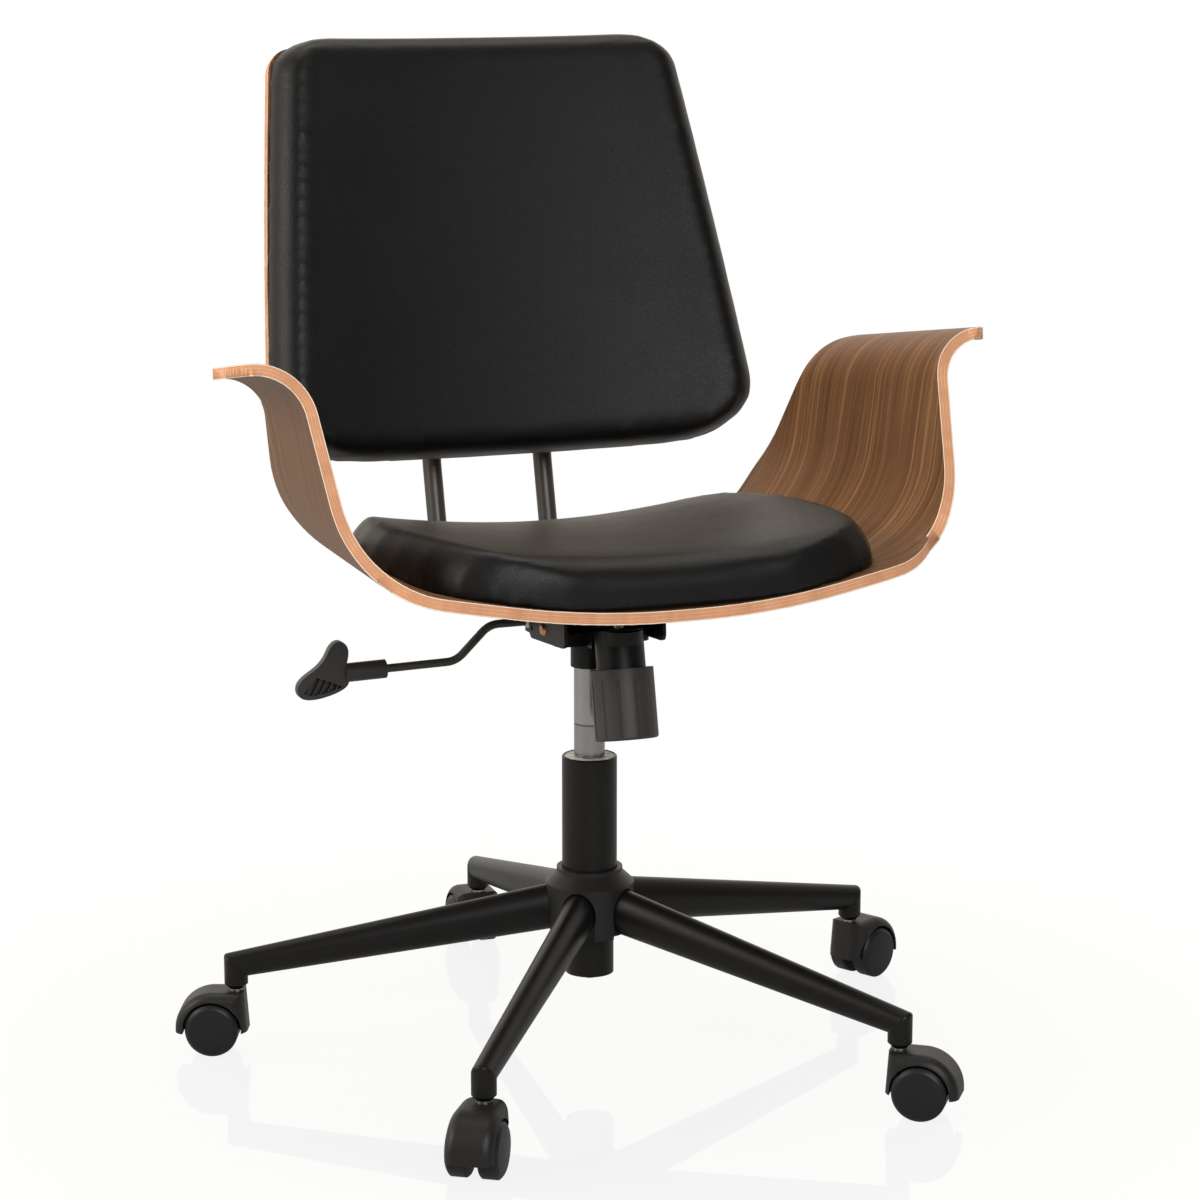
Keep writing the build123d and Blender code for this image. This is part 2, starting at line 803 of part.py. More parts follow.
with BuildPart() as lever_paddle:
    with BuildSketch(lever_plane.offset(-paddle_half_thickness)):
        with BuildLine():
            Spline(*paddle_outline, periodic=True)
        make_face()
    extrude(amount=2 * paddle_half_thickness)
    with BuildSketch(lever_plane.offset(paddle_half_thickness)):
        with BuildLine():
            Polyline(*paddle_pocket, close=True)
        make_face()
        with Locations(paddle_pocket_middle):
            with GridLocations(paddle_rib_pitch, 1, paddle_ribs, 1):
                Rectangle(
                    paddle_rib_width, paddle_rib_length, rotation=paddle_rib_slant - 90,
                    mode=Mode.SUBTRACT,
                )
    extrude(amount=-paddle_recess, mode=Mode.SUBTRACT)
    with BuildSketch(Plane(origin=sleeve_start, z_dir=rod_out)):
        Circle(handle_radius)
    extrude(amount=sleeve_start.X - handle_end)
    with BuildSketch(Plane(origin=sleeve_start, z_dir=rod_out)):
        Circle(lever_rod_radius)
    extrude(amount=(rod_tip - sleeve_start).length, mode=Mode.SUBTRACT)
save(lever_paddle.part, "lever_paddle")

# Tension spring, washer, bolt and knob
with BuildPart() as tension_spring:
    with BuildSketch(tension_base.offset(spring_seat)):
        Circle(spring_outer)
        Circle(spring_inner, mode=Mode.SUBTRACT)
    extrude(amount=-spring_length)
save(tension_spring.part, "tension_spring")

washer_top = spring_seat - spring_length
with BuildPart() as spring_washer:
    with BuildSketch(tension_base.offset(washer_top)):
        Circle(washer_radius)
        Circle(bolt_radius + fit_gap, mode=Mode.SUBTRACT)
    extrude(amount=-washer_height)
save(spring_washer.part, "spring_washer")

with BuildPart() as tension_bolt:
    with BuildSketch(tension_base.offset(-knob_height + bolt_tail)):
        Circle(bolt_radius)
    extrude(amount=bolt_head_rise + knob_height - bolt_tail)
    with BuildSketch(tension_base.offset(bolt_head_rise)):
        Circle(bolt_radius)
    with BuildSketch(tension_base.offset(bolt_head_rise + bolt_dome_height)):
        Circle(bolt_head_radius)
    loft()
    with BuildSketch(tension_base.offset(bolt_head_rise + bolt_dome_height)):
        RegularPolygon(bolt_head_radius, 6)
    extrude(amount=bolt_head_height)
save(tension_bolt.part, "tension_bolt")

boss_top = washer_top - washer_height - fit_gap
with BuildPart() as tension_knob:
    with BuildSketch(tension_base):
        Circle(knob_radius)
    extrude(amount=-knob_height)
    fillet(tension_knob.edges().sort_by(Axis.Z)[0], knob_round)
    with BuildSketch(tension_base.offset(-knob_edge)):
        with PolarLocations(knob_radius, knob_ribs):
            Circle(knob_rib_radius)
    extrude(amount=-knob_height, mode=Mode.SUBTRACT)
    with BuildSketch(tension_base):
        Circle(sleeve_radius + knob_bore_gap)
    extrude(amount=-knob_bore_depth, mode=Mode.SUBTRACT)
    with BuildSketch(tension_base.offset(boss_top)):
        Circle(knob_boss_radius)
    extrude(amount=-(knob_bore_depth + boss_top))
    with BuildSketch(tension_base):
        Circle(bolt_radius + fit_gap)
    extrude(amount=-knob_height + knob_floor, mode=Mode.SUBTRACT)
save(tension_knob.part, "tension_knob")

# Seat carrier plate in the seat's pitched frame: plate, side flanges and bolt yoke
pitch = radians(seat_pitch)
seat_plane = Plane(
    origin=(0, 0, seat_datum_z), x_dir=(1, 0, 0), z_dir=(0, sin(pitch), cos(pitch))
)
seat_side = Plane(
    origin=(0, 0, seat_datum_z), x_dir=seat_plane.y_dir, z_dir=(1, 0, 0)
)
pivot_spot = seat_side.to_local_coords(Vector(0, pivot_y, pivot_z))
bolt_spot = Vector(0, tension_y, tension_z) + tension_up * bolt_head_rise
yoke_spot = seat_plane.to_local_coords(bolt_spot)
plate_top = -ply
plate_bottom = plate_top - plate_thickness
seat_bolt_spots = [
    (side * seat_bolt_x, v) for side in (-1, 1) for v in (seat_bolt_front, seat_bolt_rear)
]
with BuildPart() as seat_plate:
    with BuildSketch(seat_plane.offset(plate_bottom)):
        with Locations((0, (plate_front + plate_rear) / 2)):
            RectangleRounded(2 * plate_half_width, plate_rear - plate_front, plate_corner)
        with Locations(*seat_bolt_spots):
            Circle(bolt_shank_radius + fit_gap, mode=Mode.SUBTRACT)
    extrude(amount=plate_thickness)
    for side in (-1, 1):
        with BuildSketch(seat_side.offset(side * flange_inner)) as flange:
            with BuildLine():
                FilletPolyline(
                    (flange_front, plate_bottom),
                    (flange_front, plate_bottom - flange_depth),
                    (flange_rear, plate_bottom - flange_depth),
                    (flange_rear, plate_bottom),
                    radius=flange_corner,
                    close=False,
                )
                Line((flange_rear, plate_bottom), (flange_front, plate_bottom))
            make_face()
            with Locations((pivot_spot.X, pivot_spot.Y)):
                Circle(pivot_radius + fit_gap, mode=Mode.SUBTRACT)
            with Locations((flange_hole_v, plate_bottom - flange_hole_depth)):
                Circle(flange_hole_radius, mode=Mode.SUBTRACT)
        extrude(amount=side * plate_thickness)
    with BuildSketch(seat_plane.offset(plate_bottom)):
        with Locations((0, yoke_spot.Y)):
            Rectangle(2 * yoke_half_width, 2 * yoke_half_length)
            Rectangle(
                2 * (yoke_half_width - yoke_wall), 2 * yoke_half_length, mode=Mode.SUBTRACT
            )
    extrude(amount=-yoke_drop)
    with BuildSketch(seat_plane.offset(plate_bottom - yoke_drop)):
        with Locations((0, yoke_spot.Y)):
            Rectangle(2 * yoke_half_width, 2 * yoke_half_length)
    extrude(amount=-yoke_wall)
    with BuildSketch(tension_base):
        Circle(bolt_radius + yoke_hole_gap)
    extrude(amount=bolt_head_rise + yoke_drop / 2, mode=Mode.SUBTRACT)


# One side's line of the bent sheet, from the middle to the lip, at a depth below its upper face
def sheet_line(form, depth):
    flat = Line((0, -depth), (form["flat"], -depth))
    toe = JernArc(flat @ 1, flat % 1, form["toe"] + depth, form["rise"])
    ramp = PolarLine(toe @ 1, form["ramp"], form["rise"])
    bend = JernArc(ramp @ 1, ramp % 1, form["bend"] + depth, form["lean"] - form["rise"])
    arm = PolarLine(bend @ 1, form["arm"], form["lean"])
    turn = -form["lean"] - form["lip_fall"]
    curl = JernArc(arm @ 1, arm % 1, form["lip_bend"] - depth, turn)
    lip = PolarLine(curl @ 1, form["lip"], -form["lip_fall"])
    return lip @ 1


def seat_section(v):
    return Plane(
        origin=seat_plane.from_local_coords((0, v, 0)),
        x_dir=(1, 0, 0),
        z_dir=-seat_plane.y_dir,
    )


shell_forms = ((front_form, shell_front), (rear_form, shell_rear))
far = 500
with BuildPart() as seat_shell:
    for form, v in shell_forms:
        with BuildSketch(seat_section(v)):
            with BuildLine():
                Line(sheet_line(form, 0), sheet_line(form, ply))
                mirror(about=Plane.YZ)
            make_face()
    loft(ruled=True)
    # Plan trim of the seat's front and rear
    with BuildSketch(seat_plane.offset(-far / 2)) as seat_plan:
        with BuildLine():
            bow = JernArc((0, seat_front), (1, 0), seat_front_bow, seat_front_sweep)
            reach = asin((arm_front_join - (bow @ 1).X) / seat_front_corner
                         + sin(radians(seat_front_sweep)))
            corner = JernArc(bow @ 1, bow % 1, seat_front_corner,
                             degrees(reach) - seat_front_sweep)
            Polyline(corner @ 1, (arm_front_join, -far), (0, -far), bow @ 0)
        make_face()
        with BuildLine():
            bow = JernArc((0, seat_rear), (1, 0), seat_rear_bow, -seat_rear_sweep)
            reach = asin((arm_rear_join - (bow @ 1).X) / seat_rear_corner
                         + sin(radians(seat_rear_sweep)))
            corner = JernArc(bow @ 1, bow % 1, seat_rear_corner,
                             seat_rear_sweep - degrees(reach))
            Polyline(corner @ 1, (arm_rear_join, far), (0, far), bow @ 0)
        make_face()
        mirror(about=Plane.YZ)
    extrude(amount=far, mode=Mode.SUBTRACT)
    # Side trim of the arms' front and rear edges
    for side in (-1, 1):
        for join, edge, limit in (
            (arm_front_join, arm_front_edge, -far),
            (arm_rear_join, arm_rear_edge, far),
        ):
            with BuildSketch(seat_side.offset(side * join)):
                with BuildLine():
                    rim = FilletPolyline(*edge, radius=arm_edge_radius)
                    Polyline(rim @ 1, (limit, edge[-1][1]), (limit, edge[0][1]), rim @ 0)
                make_face()
            extrude(amount=side * far, mode=Mode.SUBTRACT)
    # Plan trim of the lips
    with BuildSketch(seat_plane.offset(front_form["arm"])):
        with BuildLine():
            front_turn = TangentArc(
                (lip_front_x - lip_front_corner, lip_front_v - lip_front_corner),
                (lip_front_x, lip_front_v),
                tangent=(1, 0),
            )
            tip = Line((lip_front_x, lip_front_v), (lip_rear_x, lip_rear_v))
            rear_turn = TangentArc(
                tip @ 1,
                (lip_rear_x - lip_rear_corner, lip_rear_v + lip_rear_corner),
                tangent=tip % 1,
            )
            Polyline(
                rear_turn @ 1,
                ((rear_turn @ 1).X, far),
                (far, far),
                (far, -far),
                ((front_turn @ 0).X, -far),
                front_turn @ 0,
            )
        make_face()
        mirror(about=Plane.YZ)
    extrude(amount=far, mode=Mode.SUBTRACT)
    with BuildSketch(seat_plane.offset(plate_top)):
        with Locations(*seat_bolt_spots):
            Circle(bolt_shank_radius)
    extrude(amount=seat_bolt_bite, mode=Mode.SUBTRACT)
save(seat_shell.part, "seat_shell")

# Bosses on the plate that carry the shell round the bolts
with BuildPart() as seat_carrier:
    with BuildSketch(seat_plane.offset(plate_top)):
        with Locations(*seat_bolt_spots):
            Circle(plate_boss_radius)
            Circle(bolt_shank_radius + fit_gap, mode=Mode.SUBTRACT)
    extrude(amount=ply / 2)
    add(seat_shell.part, mode=Mode.SUBTRACT)
    add(seat_plate.part)
save(seat_carrier.part, "seat_plate")

with BuildPart() as seat_bolts:
    with BuildSketch(seat_plane.offset(plate_bottom)):
        with Locations(*seat_bolt_spots):
            Circle(bolt_shank_radius)
    extrude(amount=plate_thickness + seat_bolt_bite)
    with BuildSketch(seat_plane.offset(plate_bottom)):
        with Locations(*seat_bolt_spots):
            Circle(bolt_button_radius)
    extrude(amount=-bolt_button_height, taper=20)
save(seat_bolts.part, "seat_bolts")

# Seat pad: crowned sections along the seat, trimmed to lie on the shell
with BuildPart() as sheet_bed:
    for form, v in shell_forms:
        with BuildSketch(seat_section(v)):
            with BuildLine():
                outer = sheet_line(form, -ply_gap)
                Polyline(outer, (far, outer.Y), (far, -far), (0, -far))
                mirror(about=Plane.YZ)
            make_face()
    loft(ruled=True)

with BuildPart() as seat_pad:
    for v, half, low, crown in seat_pad_sections:
        rim = crown + seat_pad_dish * (half / seat_pad_half) ** 2
        belly = (low + seat_pad_dish + rim) / 2
        with BuildSketch(seat_section(v)):
            with BuildLine():
                right = ThreePointArc(
                    (half - seat_pad_side, low),
                    (half, belly),
                    (half - 3 * seat_pad_side, rim),
                )
                ThreePointArc(right @ 1, (0, crown), (3 * seat_pad_side - half, rim))
                left = ThreePointArc(
                    (3 * seat_pad_side - half, rim),
                    (-half, belly),
                    (seat_pad_side - half, low),
                )
                Line(left @ 1, right @ 0)
            make_face()
    loft(ruled=True)
    add(sheet_bed.part, mode=Mode.SUBTRACT)
save(seat_pad.part, "seat_pad")

# Backrest: curved ply with a rounded outline, and a crowned pad on its front
lean = radians(back_lean)
back_up = Vector(0, sin(lean), cos(lean))
back_plane = Plane(origin=(0, back_y, back_z), x_dir=(1, 0, 0), z_dir=(0, -cos(lean), sin(lean)))


def back_section(height):
    return Plane(
        origin=back_plane.origin + back_up * height, x_dir=(1, 0, 0), z_dir=back_up
    )


def back_point(depth, across):
    angle = across / back_radius
    return ((back_radius - depth) * sin(angle), (back_radius - depth) * cos(angle) - back_radius)


back_reach = 1.2 * back_bottom_half
back_margin = 60
back_total = back_height + 2 * back_margin
screw_spots = [
    (side * back_tube_x, height) for side in (-1, 1) for height in back_screw_heights
]
with BuildPart() as backrest_shell:
    with BuildSketch(back_section(-back_margin)):
        with BuildLine():
            face = ThreePointArc(
                back_point(0, -back_reach), back_point(0, 0), back_point(0, back_reach)
            )
            rear = ThreePointArc(
                back_point(-ply, -back_reach), back_point(-ply, 0), back_point(-ply, back_reach)
            )
            Line(face @ 0, rear @ 0)
            Line(face @ 1, rear @ 1)
        make_face()
    extrude(amount=back_total)
    with BuildSketch(back_plane.offset(-back_margin)) as back_outline:
        with BuildLine():
            Line((0, 0), (back_bottom_half, 0))
            ThreePointArc(
                (back_bottom_half, 0),
                ((back_bottom_half + back_top_half) / 2 + back_side_bow, back_height / 2),
                (back_top_half, back_height),
            )
            Line((back_top_half, back_height), (0, back_height))
            mirror(about=Plane.YZ)
        make_face()
        fillet(back_outline.vertices().group_by(Axis.Y)[0], back_bottom_corner)
        fillet(back_outline.vertices().group_by(Axis.Y)[-1], back_top_corner)
    extrude(amount=2 * back_margin, mode=Mode.INTERSECT)
    with BuildSketch(back_plane.offset(-back_margin)):
        with Locations(*screw_spots):
            Circle(bolt_shank_radius)
    extrude(amount=back_margin - ply + back_screw_bite, mode=Mode.SUBTRACT)
save(backrest_shell.part, "backrest_shell")

with BuildPart() as back_bed:
    with BuildSketch(back_section(-back_margin)):
        with BuildLine():
            face = ThreePointArc(
                back_point(ply_gap, -back_reach),
                back_point(ply_gap, 0),
                back_point(ply_gap, back_reach),
            )
            Polyline(
                face @ 1, ((face @ 1).X, back_margin), ((face @ 0).X, back_margin), face @ 0
            )
        make_face()
    extrude(amount=back_total)



# Loss of a rounded edge at a distance from its end
def round_over(distance, radius):
    rest = max(radius - distance, 0)
    return radius - (radius**2 - rest**2) ** 0.5


def pad_half(height):
    share = height / back_height
    straight = back_pad_bottom_half + (back_pad_top_half - back_pad_bottom_half) * share
    bow = 4 * back_pad_side_bow * share * (1 - share)
    foot_width, foot_rise = back_pad_bottom_corner
    head_width, head_rise = back_pad_top_corner
    foot = round_over(height - back_pad_bottom, foot_rise) * foot_width / foot_rise
    head = round_over(back_pad_top - height, head_rise) * head_width / head_rise
    return straight + bow - foot - head


corner_rises = [1 - cos(radians(90 * step)) for step in back_pad_steps]
foot_heights = [back_pad_bottom + back_pad_bottom_corner[1] * rise for rise in corner_rises]
head_heights = [back_pad_top - back_pad_top_corner[1] * rise for rise in corner_rises]
pad_middle = head_heights[-1] - foot_heights[-1]
side_heights = [foot_heights[-1] + pad_middle * share for share in back_pad_steps[1:-1]]
pad_heights = foot_heights + side_heights + head_heights[::-1]

with BuildPart() as backrest_pad:
    for height in pad_heights:
        end = min(height - back_pad_bottom, back_pad_top - height)
        half = pad_half(height)
        near = back_pad_near + round_over(end, back_pad_tuck)
        depth = back_pad_depth - round_over(end, back_pad_roll)
        with BuildSketch(back_section(height)):
            with BuildLine():
                middle = (near + depth) / 2
                right = ThreePointArc(
                    back_point(near, half - back_pad_edge),
                    back_point(middle, half),
                    back_point(depth - back_pad_side, half - 2 * back_pad_side),
                )
                left = ThreePointArc(
                    back_point(near, back_pad_edge - half),
                    back_point(middle, -half),
                    back_point(depth - back_pad_side, 2 * back_pad_side - half),
                )
                ThreePointArc(right @ 1, back_point(depth, 0), left @ 1)
                ThreePointArc(left @ 0, back_point(near, 0), right @ 0)
            make_face()
    loft(ruled=True)
    add(back_bed.part, mode=Mode.SUBTRACT)
save(backrest_pad.part, "backrest_pad")

# Back tubes: under the seat plate, up behind the seat, then along the backrest's rear face
tube_sag = back_radius - (back_radius**2 - back_tube_x**2) ** 0.5
tube_standoff = ply + spacer_height + back_tube_radius - tube_sag
tube_line_foot = back_plane.origin - back_plane.z_dir * tube_standoff
shoulder_rise = (back_tube_knee[0] - tube_line_foot.Y) / tan(lean)
tube_shoulder = (back_tube_knee[0], tube_line_foot.Z + shoulder_rise)
tube_end = tube_line_foot + back_up * back_tube_reach
tube_start = seat_plane.from_local_coords(
    (0, back_tube_start, plate_bottom - back_tube_radius)
)
tube_foot = seat_plane.from_local_coords(
    (0, back_tube_foot, plate_bottom - back_tube_radius)
)
for side, node in ((-1, "back_tube_left"), (1, "back_tube_right")):
    side_plane = Plane(
        origin=(side * back_tube_x, 0, 0), x_dir=(0, 1, 0), z_dir=(1, 0, 0)
    )
    with BuildPart() as back_tube:
        with BuildLine(side_plane) as tube_path:
            FilletPolyline(
                (tube_start.Y, tube_start.Z),
                (tube_foot.Y, tube_foot.Z),
                back_tube_knee,
                tube_shoulder,
                (tube_end.Y, tube_end.Z),
                radius=(back_tube_foot_bend, back_tube_knee_bend, back_tube_knee_bend),
            )
        with BuildSketch(Plane(origin=tube_path.line @ 0, z_dir=tube_path.line % 0)):
            Circle(back_tube_radius)
            Circle(back_tube_radius - back_tube_wall, mode=Mode.SUBTRACT)
        sweep()
        with BuildSketch(back_plane.offset(-2 * back_margin)):
            with Locations(*screw_spots):
                Circle(bolt_shank_radius + fit_gap)
        extrude(amount=2 * back_margin, mode=Mode.SUBTRACT)
    save(back_tube.part, node)

spacer_face = ply - tube_sag
with BuildPart() as back_spacers:
    with BuildSketch(back_plane.offset(-spacer_face - spacer_height)):
        with Locations(*screw_spots):
            Circle(spacer_radius)
            Circle(bolt_shank_radius + fit_gap, mode=Mode.SUBTRACT)
    extrude(amount=spacer_height)
    add(backrest_shell.part, mode=Mode.SUBTRACT)
save(back_spacers.part, "back_spacers")

screw_seat = tube_standoff + back_tube_radius
with BuildPart() as back_screws:
    with BuildSketch(back_plane.offset(-screw_seat)):
        with Locations(*screw_spots):
            Circle(bolt_shank_radius)
    extrude(amount=screw_seat - ply + back_screw_bite)
    with BuildSketch(back_plane.offset(-screw_seat)):
        with Locations(*screw_spots):
            Circle(bolt_button_radius)
    extrude(amount=-bolt_button_height, taper=20)
save(back_screws.part, "back_screws")

plug_bore = back_tube_radius - back_tube_wall
with BuildPart() as tube_plugs:
    for side in (-1, 1):
        plug_spot = Vector(side * back_tube_x, tube_end.Y, tube_end.Z)
        with BuildSketch(Plane(origin=plug_spot, z_dir=back_up)):
            Circle(plug_bore)
        extrude(amount=-plug_length)
        with BuildSketch(Plane(origin=plug_spot, z_dir=back_up)):
            Circle(back_tube_radius)
        extrude(amount=plug_head, taper=20)
save(tube_plugs.part, "tube_plugs")
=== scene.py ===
import bmesh
import bpy
import json
import math
import numpy as np
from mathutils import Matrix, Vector


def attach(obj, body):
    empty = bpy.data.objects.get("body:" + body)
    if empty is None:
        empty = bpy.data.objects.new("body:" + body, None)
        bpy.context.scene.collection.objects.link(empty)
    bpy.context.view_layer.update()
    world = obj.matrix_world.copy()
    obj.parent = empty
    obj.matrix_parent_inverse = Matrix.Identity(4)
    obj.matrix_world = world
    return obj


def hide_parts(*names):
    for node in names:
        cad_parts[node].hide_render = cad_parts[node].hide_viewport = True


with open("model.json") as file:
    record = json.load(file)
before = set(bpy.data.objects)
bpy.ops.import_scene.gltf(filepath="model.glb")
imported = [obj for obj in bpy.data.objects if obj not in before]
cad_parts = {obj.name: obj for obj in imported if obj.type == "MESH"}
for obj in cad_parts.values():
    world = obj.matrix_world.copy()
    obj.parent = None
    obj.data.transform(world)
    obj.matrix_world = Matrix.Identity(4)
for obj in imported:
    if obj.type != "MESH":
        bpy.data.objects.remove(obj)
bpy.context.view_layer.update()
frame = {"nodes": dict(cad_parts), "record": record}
nodes = frame["nodes"]
scene = bpy.context.scene
scene.view_settings.view_transform = "Standard"
print("frame loaded:", len(nodes), "nodes")

# places of the colour sockets on a Mix node, which shares its socket names between data types
mixA, mixB, mixResult = 6, 7, 2


# node tree shorthand
def newMaterial(name):
    mat = bpy.data.materials.new(name)
    mat.use_nodes = True
    tree = mat.node_tree
    tree.nodes.clear()
    out = addNode(tree, "OutputMaterial")
    shader = addNode(tree, "BsdfPrincipled")
    tree.links.new(shader.outputs[0], out.inputs["Surface"])
    return mat, tree, shader


def newGroup(name, inputs, outputs):
    tree = bpy.data.node_groups.new(name, "ShaderNodeTree")
    for label, kind, value in inputs:
        socket = tree.interface.new_socket(name=label, in_out="INPUT", socket_type="NodeSocket" + kind)
        socket.default_value = value
    for label, kind in outputs:
        tree.interface.new_socket(name=label, in_out="OUTPUT", socket_type="NodeSocket" + kind)
    return tree, tree.nodes.new("NodeGroupInput").outputs, tree.nodes.new("NodeGroupOutput").inputs


def useGroup(tree, group, **values):
    node = addNode(tree, "Group", node_tree=group)
    for key, value in values.items():
        feed(tree, value, node.inputs[key])
    return node.outputs


def feed(tree, value, socket):
    if isinstance(value, bpy.types.NodeSocket):
        tree.links.new(value, socket)
    elif value is not None:
        isTone = isinstance(value, tuple) and len(value) == 3 and socket.type == "RGBA"
        socket.default_value = (*value, 1) if isTone else value


def addNode(tree, kind, **values):
    node = tree.nodes.new("ShaderNode" + kind)
    for key, value in values.items():
        setattr(node, key, value)
    return node


def ramp(tree, fac, stops):
    node = addNode(tree, "ValToRGB")
    band = node.color_ramp.elements
    while len(band) < len(stops):
        band.new(0.5)
    for item, (place, tone) in zip(band, stops):
        item.position = place
        item.color = (*tone, 1)
    feed(tree, fac, node.inputs["Fac"])
    return node.outputs["Color"]


def mixColor(tree, fac, a, b):
    node = addNode(tree, "Mix", data_type="RGBA")
    feed(tree, fac, node.inputs[0])
    feed(tree, a, node.inputs[mixA])
    feed(tree, b, node.inputs[mixB])
    return node.outputs[mixResult]


def scaleColor(tree, tone, amount):
    node = addNode(tree, "VectorMath", operation="SCALE")
    feed(tree, tone, node.inputs[0])
    feed(tree, amount, node.inputs["Scale"])
    return node.outputs[0]


def calc(tree, how, a, b=None, c=None, clamp=False):
    node = addNode(tree, "Math", operation=how, use_clamp=clamp)
    for value, socket in zip((a, b, c), node.inputs):
        feed(tree, value, socket)
    return node.outputs[0]


def centred(tree, value):
    return calc(tree, "SUBTRACT", value, 0.5)


def pushed(tree, vector, amount, reach):
    # moves a coordinate by an amount along each axis's own reach
    node = addNode(tree, "VectorMath", operation="MULTIPLY_ADD")
    feed(tree, amount, node.inputs[0])
    node.inputs[1].default_value = reach
    feed(tree, vector, node.inputs[2])
    return node.outputs[0]


def noise(tree, vector, scale=1.0, detail=3.0, rough=0.5, stretch=None):
    if stretch:
        mapping = addNode(tree, "Mapping")
        mapping.inputs["Scale"].default_value = stretch
        feed(tree, vector, mapping.inputs["Vector"])
        vector = mapping.outputs[0]
    node = addNode(tree, "TexNoise")
    feed(tree, scale, node.inputs["Scale"])
    node.inputs["Detail"].default_value = detail
    node.inputs["Roughness"].default_value = rough
    feed(tree, vector, node.inputs["Vector"])
    return node.outputs["Fac"]


def span(tree, value, low, high, source=(0.0, 1.0)):
    # carries a value from its source range to the range low to high
    node = addNode(tree, "MapRange")
    feed(tree, value, node.inputs["Value"])
    for key, amount in (("From Min", source[0]), ("From Max", source[1]), ("To Min", low), ("To Max", high)):
        feed(tree, amount, node.inputs[key])
    return node.outputs["Result"]


def bump(tree, height, strength, distance):
    node = addNode(tree, "Bump")
    node.inputs["Strength"].default_value = strength
    node.inputs["Distance"].default_value = distance
    feed(tree, height, node.inputs["Height"])
    return node.outputs[0]


def objectCoords(tree):
    return addNode(tree, "TexCoord").outputs["Object"]


# surface life shared by coated metal, moulded plastic and bare steel: slow cloudy tone under a fine grain
life = dict(cloud=dict(detail=4, rough=0.6), grain=dict(detail=2, rough=0.5), grainTone=0.35)


def makeFinishGroup():
    tree, given, result = newGroup(
        "surfaceLife",
        [("Base", "Color", (0.1, 0.1, 0.1, 1)), ("Grain", "Float", 1500.0), ("Cloud", "Float", 9.0),
         ("Drift", "Float", 0.25), ("Rough", "Float", 0.4), ("Spread", "Float", 0.1)],
        [("Color", "Color"), ("Roughness", "Float"), ("Height", "Float")])
    where = objectCoords(tree)
    grain = noise(tree, where, given["Grain"], **life["grain"])
    slow, fine = centred(tree, noise(tree, where, given["Cloud"], **life["cloud"])), centred(tree, grain)
    lift = calc(tree, "MULTIPLY_ADD", slow, given["Drift"], 1.0)
    lift = calc(tree, "MULTIPLY_ADD", fine, life["grainTone"], lift)
    feed(tree, scaleColor(tree, given["Base"], lift), result["Color"])
    wander = calc(tree, "ADD", slow, fine)
    rough = calc(tree, "MULTIPLY_ADD", wander, given["Spread"], given["Rough"], clamp=True)
    feed(tree, rough, result["Roughness"])
    feed(tree, grain, result["Height"])
    return tree


surfaceLife = makeFinishGroup()


def finishMaterial(name, base, rough, metallic=0.0, grain=1500.0, cloud=9.0, drift=0.25, spread=0.12,
                   relief=0.12, depth=0.0003, specular=0.5):
    mat, tree, shader = newMaterial(name)
    finish = useGroup(
        tree, surfaceLife, Base=base, Grain=grain, Cloud=cloud, Drift=drift, Rough=rough, Spread=spread)
    feed(tree, finish["Color"], shader.inputs["Base Color"])
    feed(tree, finish["Roughness"], shader.inputs["Roughness"])
    feed(tree, bump(tree, finish["Height"], relief, depth), shader.inputs["Normal"])
    shader.inputs["Metallic"].default_value = metallic
    shader.inputs["Specular IOR Level"].default_value = specular
    return mat


powderCoat = finishMaterial(
    "satinPowderCoat", (0.0045, 0.0042, 0.0040), 0.39, grain=1100.0, depth=0.0004, specular=0.24)
hoodPlastic = finishMaterial(
    "mouldedBlackPlastic", (0.0090, 0.0085, 0.0083), 0.48, relief=0.20, specular=0.34)
wheelNylon = finishMaterial(
    "wheelNylon", (0.0070, 0.0068, 0.0078), 0.46, grain=1300.0, relief=0.14, specular=0.32)
paleAcetal = finishMaterial(
    "paleAcetal", (0.62, 0.60, 0.56), 0.42, grain=900.0, drift=0.1, relief=0.05)
groundSteel = finishMaterial(
    "groundGreySteel", (0.33, 0.33, 0.335), 0.27, metallic=0.9,
    grain=2200.0, cloud=22.0, drift=0.2, relief=0.05)
knobPlastic = finishMaterial(
    "ribbedKnobPlastic", (0.0330, 0.0312, 0.0305), 0.46, grain=1400.0, relief=0.16, specular=0.36)
# painted light: a lighter copy of the black powder coat for the back tubes and lever rod, its colour standing in
# for the light they catch
paintedLightTubeCoat = finishMaterial(
    "satinTubeCoatPaintedLight", (0.0480, 0.0440, 0.0395), 0.36, grain=1100.0, depth=0.0004, specular=0.36)
zincSteel = finishMaterial(
    "zincPlatedSteel", (0.55, 0.55, 0.54), 0.32, metallic=1.0,
    grain=900.0, cloud=40.0, drift=0.3, relief=0.06)
copperRivet = finishMaterial(
    "copperRivet", (0.58, 0.27, 0.14), 0.34, metallic=1.0,
    grain=1200.0, cloud=120.0, drift=0.5, relief=0.06)


# ground barrel of the gas spring: a thin dark ring round it, and a slightly darker tone under the ring
barrel = dict(ringHeight=0.3055, ringHalf=0.0009, ringTone=0.45, lowTone=0.90)


